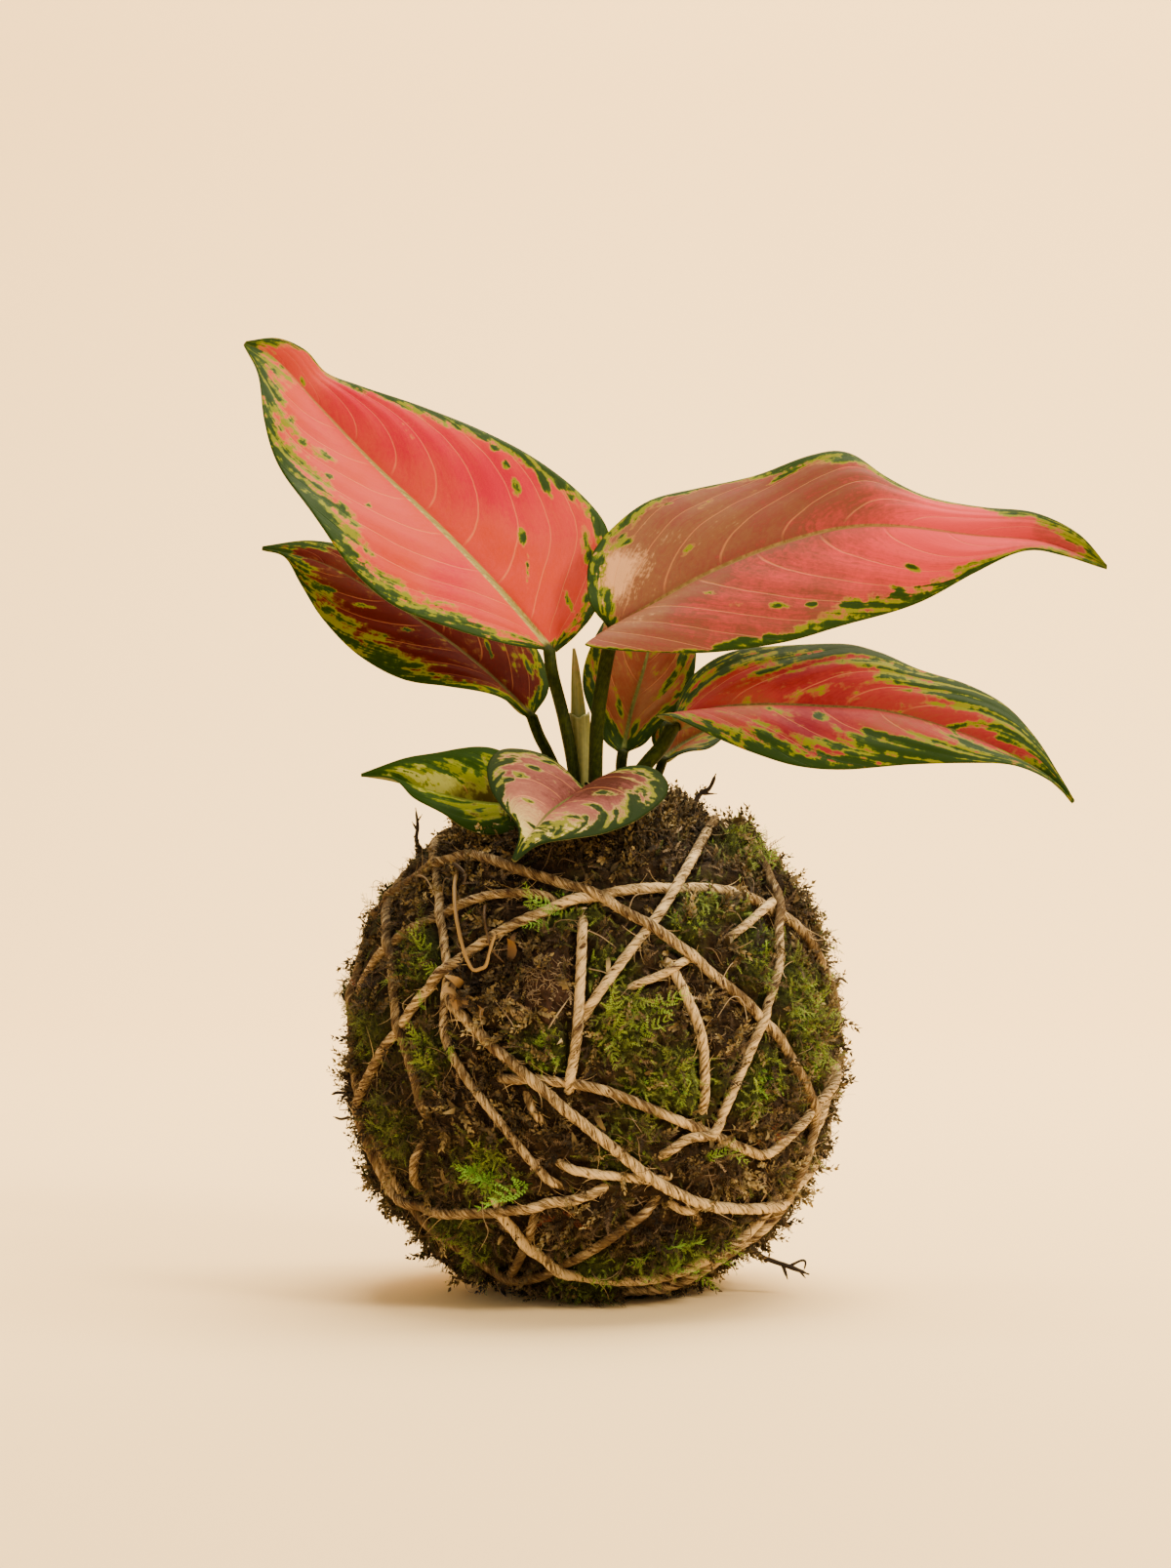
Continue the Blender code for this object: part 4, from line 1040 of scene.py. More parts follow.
def placeFronds(draw, ways, tree, tilt, tiltSpread):
    # where fronds root, which way they point, their upper side, and how far from the twine they are
    radius, apart = bedRadius(ways, tree)
    out = unit(ways * [1, 1, 0.95])
    level = unit(np.cross(out, draw.normal(size=ways.shape)))
    lean = np.clip(tilt + tiltSpread * draw.normal(size=len(ways)), 4, 88)
    lean = np.radians(lean * (0.5 + 0.5 * ramp(apart, 0.8, 4.5)))[:, None]
    forward = level * np.cos(lean) + out * np.sin(lean)
    up = out * np.cos(lean) - level * np.sin(lean)
    return onBall(ways, radius - growth["rootDepth"]), forward, up, apart


# small things caught in the moss, each along points given as across, up and height above the twine's
# ball in mm, as the camera sees them, then thickness at its start and end in mm, and tone
roots = [
    ([(-33.5, 103, 0), (-33.2, 98, 1.6), (-32.2, 90.5, 2.6), (-30.6, 83, 2.6), (-29.2, 79.2, 2.4),
      (-28.2, 77.9, 2.2), (-26.8, 78.3, 2.0), (-25.6, 79.2, 1.8), (-24.7, 82.5, 1.8), (-23.4, 86.4, 1.6),
      (-21.6, 88.2, 0)], 1.0, 0.7, 0.97),
    ([(-26.5, 94.5, 0), (-26.2, 91, 1.2), (-25.4, 87, 1.5), (-24.6, 83.5, 1), (-22, 80.5, 0)],
     0.9, 0.5, 0.50),
    ([(-36, 102.5, 0), (-33.5, 103.5, 1.5), (-31, 101.5, 1), (-32, 99, 0)], 1.3, 0.8, 0.45),
    ([(-44, 100, -1), (-42.5, 101, 1), (-40, 100, 1.5), (-39, 97, 0)], 0.6, 0.4, 0.75),
    ([(-11.2, 64, 0), (-9, 67, 1.5), (-5.8, 71.8, 0.5)], 0.5, 0.25, 0.98),
    ([(-1.2, 88.4, 0), (2, 86.4, 1), (5.6, 84.2, 0)], 0.35, 0.2, 1.0),
    ([(-1, 79, 0), (2, 78, 1), (5, 77.2, 0)], 0.3, 0.2, 0.95),
    ([(31, 75, 0), (33, 79.5, 1.5), (36.5, 80.8, 0)], 0.25, 0.2, 0.98),
    ([(30.5, 67, 0), (33, 71.5, 1.5), (36, 71, 1), (38, 66, 0)], 0.25, 0.2, 0.9),
    ([(-26.8, 22.3, 1), (-26, 19, 2), (-25, 15.5, 2), (-27.5, 10.5, 1.5)], 0.22, 0.12, 1.0),
    ([(-17, 60, 0), (-20, 66, 1), (-24, 71, 0.6)], 0.35, 0.2, 0.9),
    ([(-2, 20.5, 0), (1, 19, 1), (4, 17.5, 0)], 0.4, 0.2, 1.0),
    ([(30, 94, 0), (34, 92.5, 1.2), (37, 90, 0)], 0.3, 0.2, 0.9),
    ([(-44, 73, 0), (-46, 70, 1), (-45.5, 67, 0)], 0.25, 0.2, 0.95),
    ([(8.5, 93, 0), (10, 96, 1.4), (14, 97.6, 0)], 0.3, 0.2, 0.85),
]

twigs = [
    ([(-42, 107, -2), (-43.4, 110, 0), (-43.2, 114, 1), (-43.7, 118.6, 1)], 1.35, 0.52, 0.30),
    ([(-43.3, 113, 0), (-44.6, 115.2, 1)], 0.6, 0.3, 0.30),
    ([(-43.4, 115, 0), (-42, 117, 1)], 0.6, 0.3, 0.30),
    ([(24, 118, -3), (26, 121.5, 0), (28.6, 123.4, 1), (30.2, 127, 1)], 1.5, 0.75, 0.35),
    ([(27, 122, 0), (30.5, 122, 1)], 0.75, 0.38, 0.45),
    ([(51.5, 90, -2), (53.2, 94, 1), (53, 97, 2), (54.6, 99.6, 3)], 0.83, 0.45, 0.40),
    ([(53.1, 95.5, 1), (51.6, 97.5, 3)], 0.6, 0.3, 0.40),
    ([(35, 14, -3), (39, 10.6, 2), (43, 8.4, 5.5), (46.8, 7.2, 9), (51.8, 5.2, 13.6)], 1.5, 0.95, 0.32),
    ([(45.4, 7.4, 8), (46.6, 4, 11)], 0.9, 0.5, 0.25),
    ([(47, 7.2, 9), (49.2, 9.2, 10), (50.4, 8.6, 11), (50.2, 6.6, 12)], 0.7, 0.45, 0.28),
    ([(49.4, 6.2, 11.4), (50.8, 4.4, 13.6)], 0.7, 0.4, 0.25),
    ([(-60, 47.5, -1), (-62.5, 48.5, 0), (-64.4, 48, 1)], 1.05, 0.6, 0.20),
    ([(-60, 42.5, -1), (-62, 42, 0), (-64, 42.6, 1)], 0.75, 0.45, 0.55),
    ([(-59, 71, -1), (-61, 71.5, 0), (-62, 73.5, 0)], 1.2, 0.45, 0.25),
    ([(59, 52, -1), (61.4, 53.6, 0), (63.5, 54.4, 1)], 0.9, 0.45, 0.30),
    ([(59, 60, -1), (61, 62.5, 1), (63, 60.5, 2)], 0.68, 0.45, 0.45),
    ([(58.5, 74, -1), (60.5, 76.5, 0), (62.6, 75.4, 1)], 1.05, 0.6, 0.60),
    ([(57, 46, -1), (60, 44.5, 1), (61.4, 43, 1)], 0.75, 0.45, 0.40),
    ([(-48, 19, -1), (-51, 17.5, 1), (-50, 20, 2)], 1.05, 0.45, 0.35),
    ([(-20, 3.5, 1), (-21.6, 2.4, 2), (-20.4, 1.4, 3)], 1.2, 0.75, 0.20),
]


def litterParts(lines):
    # roots or twigs along their lines, uneven in thickness
    parts = []
    for points, thick, thin, tone in lines:
        line = smoothLine([spotAt(*point) for point in points], 6)
        line[:, 2] = np.maximum(line[:, 2], thick * mm)
        t = np.linspace(0, 1, len(line))
        radii = (thick + (thin - thick) * t) / 2 * mm * (1 + 0.22 * cloud(line, 0.0016, 51))
        radii[-2:] *= 0.5
        # along each line the map runs from 0.1 to 0.95, so the material's painted shade darkens its start and
        # its painted light brightens its end
        parts.append(sweep(tubeRings(line, radii, 7), False, (tone, 0.1, tone - 0.02, 0.95)))
    return parts


# single growths: across and up in mm, size in mm, which way the tip points in degrees clockwise from
# up, how far it leans out in degrees, and its tone
specials = {
    "bright_frond": [(-15, 26, 13, -92, 22, 0.95), (-24, 26.5, 8, -70, 26, 0.97),
                     (-22, 28, 7, -130, 20, 0.93), (-27.5, 29.5, 6, -60, 40, 0.99),
                     (-20, 24.5, 7, -110, 30, 0.9), (-29, 30, 4.5, -90, 50, 0.97)],
    "bright_tufts": [(16, 6, 9, -60, 34, 0.86), (19, 11, 9, -20, 36, 0.9), (14, 9, 8, -80, 36, 0.84),
                     (25, 5, 8, 100, 40, 0.86), (20, 6, 9, 10, 40, 0.88), (-40, 82, 8, -30, 34, 0.84),
                     (-43, 84, 7, 10, 40, 0.86), (-38, 78, 6, -70, 30, 0.82), (-42, 69, 6, 30, 40, 0.9),
                     (-11, 90, 7, -120, 34, 0.9), (-8, 92, 8, -60, 26, 0.92), (-14, 93, 7, -40, 30, 0.85),
                     (55, 71, 8, 10, 44, 0.82), (56, 62, 8, 20, 44, 0.8), (53, 66, 8, -10, 36, 0.8),
                     (27, 8, 9, 40, 36, 0.9), (24, 12, 9, -30, 36, 0.84), (30, 12, 8, 90, 40, 0.84),
                     (22, 8, 8, -80, 36, 0.86), (32, 35.5, 7, 120, 34, 0.84), (27, 32, 7, 40, 34, 0.88),
                     (40, 108, 7, 40, 50, 0.84), (36, 110, 7, 10, 50, 0.82), (42, 104, 7, 60, 50, 0.86),
                     (10, 62, 10, 60, 30, 0.84), (4, 66, 9, 20, 30, 0.82), (14, 68, 10, 50, 30, 0.86),
                     (-41, 60, 7, -40, 34, 0.84), (-36, 57, 7, 60, 34, 0.84)],
    "withered_leaves": [(-34, 77, 11, 150, 44, 0.5), (-32.5, 75, 10, 118, 46, 0.56),
                        (-34, 73, 10, 100, 50, 0.6), (-33, 71, 9, 60, 50, 0.5),
                        (-30.5, 73, 8, -150, 50, 0.42), (-31, 70, 9, 100, 40, 0.55),
                        (-19, 88, 6, 175, 60, 0.36), (-21, 81, 8, 38, 24, 0.3)],
    "red_moss": [(-9, 17.5, 4, -60, 30, 0.5), (-7, 18.5, 4, 30, 34, 0.6), (-5, 17, 4, 100, 30, 0.5),
                 (-11, 18, 3.5, -120, 30, 0.45), (42, 38.5, 4, 20, 40, 0.55), (44, 38, 4, 100, 36, 0.5),
                 (41, 36.5, 3.5, -80, 34, 0.5), (31, 12.5, 3.5, 60, 40, 0.4), (-57, 74, 4, -60, 40, 0.4)],
}


def makeSpecials(name, shapes, material):
    # copies of the shapes at the places listed
    spots, forwards, ups, sizes, tones = [], [], [], [], []
    for x, z, size, turn, lean, tone in specials[name]:
        way = seenAt(x, z)
        side, up = sidesOf(way)
        turn, lean = math.radians(turn), math.radians(lean)
        level = math.cos(turn) * up + math.sin(turn) * side
        spots.append(onBall(way, np.array(ball["wrapRadius"] - 0.2 * mm)))
        forwards.append(level * math.cos(lean) + way * math.sin(lean))
        ups.append(way * math.cos(lean) - level * math.sin(lean))
        sizes.append(size * mm)
        tones.append(tone)
    scatter(name, shapes, *(np.array(some) for some in (spots, forwards, ups, sizes, tones)), material)


# in mm, with half widths
lump = {
    "at": (-12, 75.5), "wide": 5.8, "tall": 9.2, "deep": 3.4, "low": 1.7, "rise": 1.2,
    "rings": 44, "sides": 72, "hairs": 90, "hairThick": 0.16, "hairThin": 0.10,
}


def lumpHairs():
    # fine hairs lying over the clod, given as the roots are
    draw = np.random.default_rng(31)
    lines = []
    for _ in range(lump["hairs"]):
        turn, reach = draw.uniform(0, 2 * np.pi), 0.85 * draw.uniform(0, 1) ** 0.5
        way = draw.uniform(0, 2 * np.pi)
        across, up = reach * math.cos(turn) * lump["wide"], reach * math.sin(turn) * lump["tall"]
        line = []
        for _ in range(5):
            share = (across / lump["wide"]) ** 2 + (up / lump["tall"]) ** 2
            height = lump["deep"] * math.sqrt(max(0.1, 1 - share)) - lump["low"] + draw.uniform(0.1, 0.5)
            line.append((lump["at"][0] + across, lump["at"][1] + up, height))
            way += draw.normal() * 0.55
            across += math.cos(way)
            up += math.sin(way)
        lines.append((line, lump["hairThick"], lump["hairThin"], draw.uniform(0.55, 0.95)))
    return lines


def makeLump(material):
    # a clod of reddish peat that shows between the strands
    middle = seenAt(*lump["at"])
    axes = np.stack([*sidesOf(middle), middle])
    spot = onBall(middle, np.array(ball["bedRadius"] + lump["rise"] * mm))
    turn = roundAngles(lump["sides"])
    rings = []
    for polar in np.linspace(0.04, 0.96, lump["rings"]) * math.pi:
        wide = np.sin(polar)
        way = np.stack([wide * np.cos(turn), np.full(len(turn), np.cos(polar)), wide * np.sin(turn)], -1)
        uneven = 1 + 0.16 * cloud(way, 0.5, 61) + 0.10 * cloud(way, 0.16, 62) + 0.05 * cloud(way, 0.06, 63)
        way = way * uneven[:, None] * np.array([lump["wide"], lump["tall"], lump["deep"]]) * mm
        rings.append(spot + way @ axes)
    part = sweep(np.array(rings)[::-1], marks={"tone": np.full((lump["rings"], lump["sides"]), 0.1)})
    addPart("peat_lump", part, material, "moss", "moss_layer")


def makeLitter(plumes, withered, materials):
    # the small things caught in the moss, each kind as a piece of its own
    for name, lines, material in (
        ("orange_roots", roots[:2], "orange_root"),
        ("roots_and_straws", roots[2:] + lumpHairs(), "dead_moss"),
        ("twigs", twigs, "dark_twigs"),
    ):
        addPart(name, joined(litterParts(lines)), materials[material], "moss", "moss_layer")
    for name in ("bright_frond", "bright_tufts"):
        makeSpecials(name, plumes, materials["green_moss"])
    makeSpecials("red_moss", plumes, materials["red_moss"])
    makeLump(peatMaterial("reddish_peat", 0.05, (0.008, 0.004, 0.0025), (0.062, 0.033, 0.020)))
    makeSpecials("withered_leaves", withered, materials["orange_root"])
    print("small things placed")


# each kind of growth: the seed of its draws, how many places are tried, its least and greatest size
# in mm, how far it leans up from the ball's surface and the spread of that in degrees, and how far
# from the twine in mm it starts to grow, and grows freely
growth = {
    "moss_fronds": (71, 15500, 2.2, 4.8, 33, 20, (0.8, 2.0)),
    "moss_cushions": (72, 30000, 1.3, 2.5, 66, 18, (0.8, 2.0)),
    "moss_plumes": (73, 1500, 4.5, 8.5, 30, 20, (2.6, 3.4)),
    "dead_moss": (74, 11000, 2.4, 6.0, 30, 26, (0.8, 2.0)),
    "dry_shreds": (75, 13000, 3.6, 8.5, 26, 26, (0.8, 2.0)),
    "moss_spikes": (76, 3000, 3.0, 6.0, 38, 22, (0.8, 2.0)),
    "root_fibres": (77, 3000, 3.0, 8.0, 6, 10, (0.8, 2.0)),
    "rootDepth": 0.0004,      # in metres
    "mostFaces": 180000,      # in one piece
}


def grow(name, shapes, tree, material, chance, tone):
    # one kind of growth all over the ball; the chance that one grows at a place tried and its tone
    # there read the directions and how green the moss is
    seed, tries, least, most, lean, leanSpread, clear = growth[name]
    draw = np.random.default_rng(seed)
    ways = spread(draw, tries)
    fresh = greenness(ways)
    keep = draw.uniform(0, 1, len(ways)) < chance(ways, fresh)
    ways, fresh = ways[keep], fresh[keep]
    spots, forwards, ups, apart = placeFronds(draw, ways, tree, lean, leanSpread)
    covered = 0.16 + 0.5 * ramp(cloud(ways, 0.09, 44), 0.15, 0.75)
    keep = draw.uniform(0, 1, len(ways)) < covered + (1 - covered) * ramp(apart, *clear)
    sizes = draw.uniform(least, most, len(ways)) * mm * (0.55 + 0.45 * ramp(apart, 1.0, 4.5))
    # painted shade: the moss on the ball's left side, away from the key light, gets darker tones
    paintedLeftShade = 0.20 * ramp(-ways[:, 0], 0.35, 0.95)
    tones = np.clip(tone(ways, fresh) - paintedLeftShade + 0.12 * draw.normal(size=len(ways)), 0.02, 0.98)
    kept = [some[keep] for some in (spots, forwards, ups, sizes, tones)]
    faces = keep.sum() * np.mean([len(shape[1]) for shape in shapes])
    count = math.ceil(faces / growth["mostFaces"])
    for part in range(count):
        number = f"{name}_{part + 1}" if count > 1 else name
        scatter(number, shapes, *(some[part::count] for some in kept), material)
    print(f"{name}: {keep.sum()} in {count} pieces, {faces:.0f} faces")


# the colours by tone from 0 to 1, then how far the tips are brightened as painted light, and how rough the
# growth is
mossTints = {
    "green_moss": ([(0.0, (0.017, 0.013, 0.005)), (0.3, (0.052, 0.053, 0.012)), (0.55, (0.112, 0.146, 0.022)),
                    (0.8, (0.235, 0.330, 0.042)), (1.0, (0.150, 0.430, 0.034))], 1.45, 0.8),
    "dead_moss": ([(0.0, (0.010, 0.006, 0.004)), (0.35, (0.048, 0.030, 0.017)), (0.6, (0.135, 0.092, 0.050)),
                   (0.8, (0.300, 0.220, 0.125)), (1.0, (0.560, 0.450, 0.280))], 1.5, 0.8),
    "dry_moss": ([(0.0, (0.014, 0.009, 0.004)), (0.4, (0.078, 0.055, 0.020)), (0.7, (0.210, 0.160, 0.062)),
                  (1.0, (0.460, 0.380, 0.190))], 1.5, 0.8),
    "dark_twigs": ([(0.0, (0.010, 0.006, 0.004)), (0.35, (0.048, 0.030, 0.017)), (0.6, (0.135, 0.092, 0.050)),
                    (1.0, (0.26, 0.24, 0.05))], 1.0, 0.8),
    "red_moss": ([(0.0, (0.06, 0.012, 0.006)), (0.5, (0.22, 0.045, 0.018)), (1.0, (0.40, 0.11, 0.04))],
                 1.1, 0.8),
    "orange_root": ([(0.0, (0.10, 0.040, 0.010)), (0.5, (0.20, 0.115, 0.034)), (1.0, (0.66, 0.410, 0.115))],
                    1.0, 0.55),
}


def makeMoss(tree):
    draw = np.random.default_rng(7)
    materials = {name: mossMaterial(name) for name in mossTints}
    green, brown, olive = (materials[name] for name in ("green_moss", "dead_moss", "dry_moss"))

    fine = [frondShape(draw, 10, 0.27, 0.075, folded=False) for _ in range(12)]
    plumes = [plumeShape(draw, 7) for _ in range(5)]
    tufts = [tuftShape(draw, 10) for _ in range(8)]
    flakes = [shredShape(draw) for _ in range(8)]
    shreds = flakes[:3] + [sprigShape(draw, 16) for _ in range(12)]
    spikes = [sprigShape(draw, 13) for _ in range(10)]
    fibres = [fibreShape(draw, 0.022) for _ in range(12)]

    def high(ways):
        return ramp(ways[:, 2], 0.70, 0.88)

    grow("moss_fronds", fine, tree, green,
         lambda ways, fresh: 0.12 + 0.88 * ramp(fresh, 0.22, 0.6),
         lambda ways, fresh: 0.16 + 0.60 * fresh)
    grow("moss_cushions", tufts, tree, green,
         lambda ways, fresh: ramp(fresh, 0.42, 0.75),
         lambda ways, fresh: 0.24 + 0.58 * fresh)
    grow("moss_plumes", plumes, tree, green,
         lambda ways, fresh: ramp(fresh, 0.42, 0.75),
         lambda ways, fresh: 0.28 + 0.5 * fresh)
    grow("dead_moss", fine, tree, brown,
         lambda ways, fresh: 0.20 + 0.80 * ramp(fresh, 0.65, 0.25),
         lambda ways, fresh: 0.44 + 0.3 * cloud(ways, 0.11, 43) + 0.08 * high(ways))
    grow("dry_shreds", shreds, tree, olive,
         lambda ways, fresh: 0.10 + 0.40 * ramp(fresh, 0.5, 0.2) + 0.6 * high(ways),
         lambda ways, fresh: 0.40 + 0.45 * cloud(ways, 0.12, 41))
    grow("moss_spikes", spikes, tree, olive,
         lambda ways, fresh: np.full(len(ways), 0.9),
         lambda ways, fresh: 0.22 + 0.3 * fresh)
    grow("root_fibres", fibres, tree, brown,
         lambda ways, fresh: 0.25 + 0.5 * ramp(fresh, 0.75, 0.3),
         lambda ways, fresh: 0.55 + 0.2 * cloud(ways, 0.2, 42))
    makeLitter(plumes, flakes, materials)
    print("moss grown")


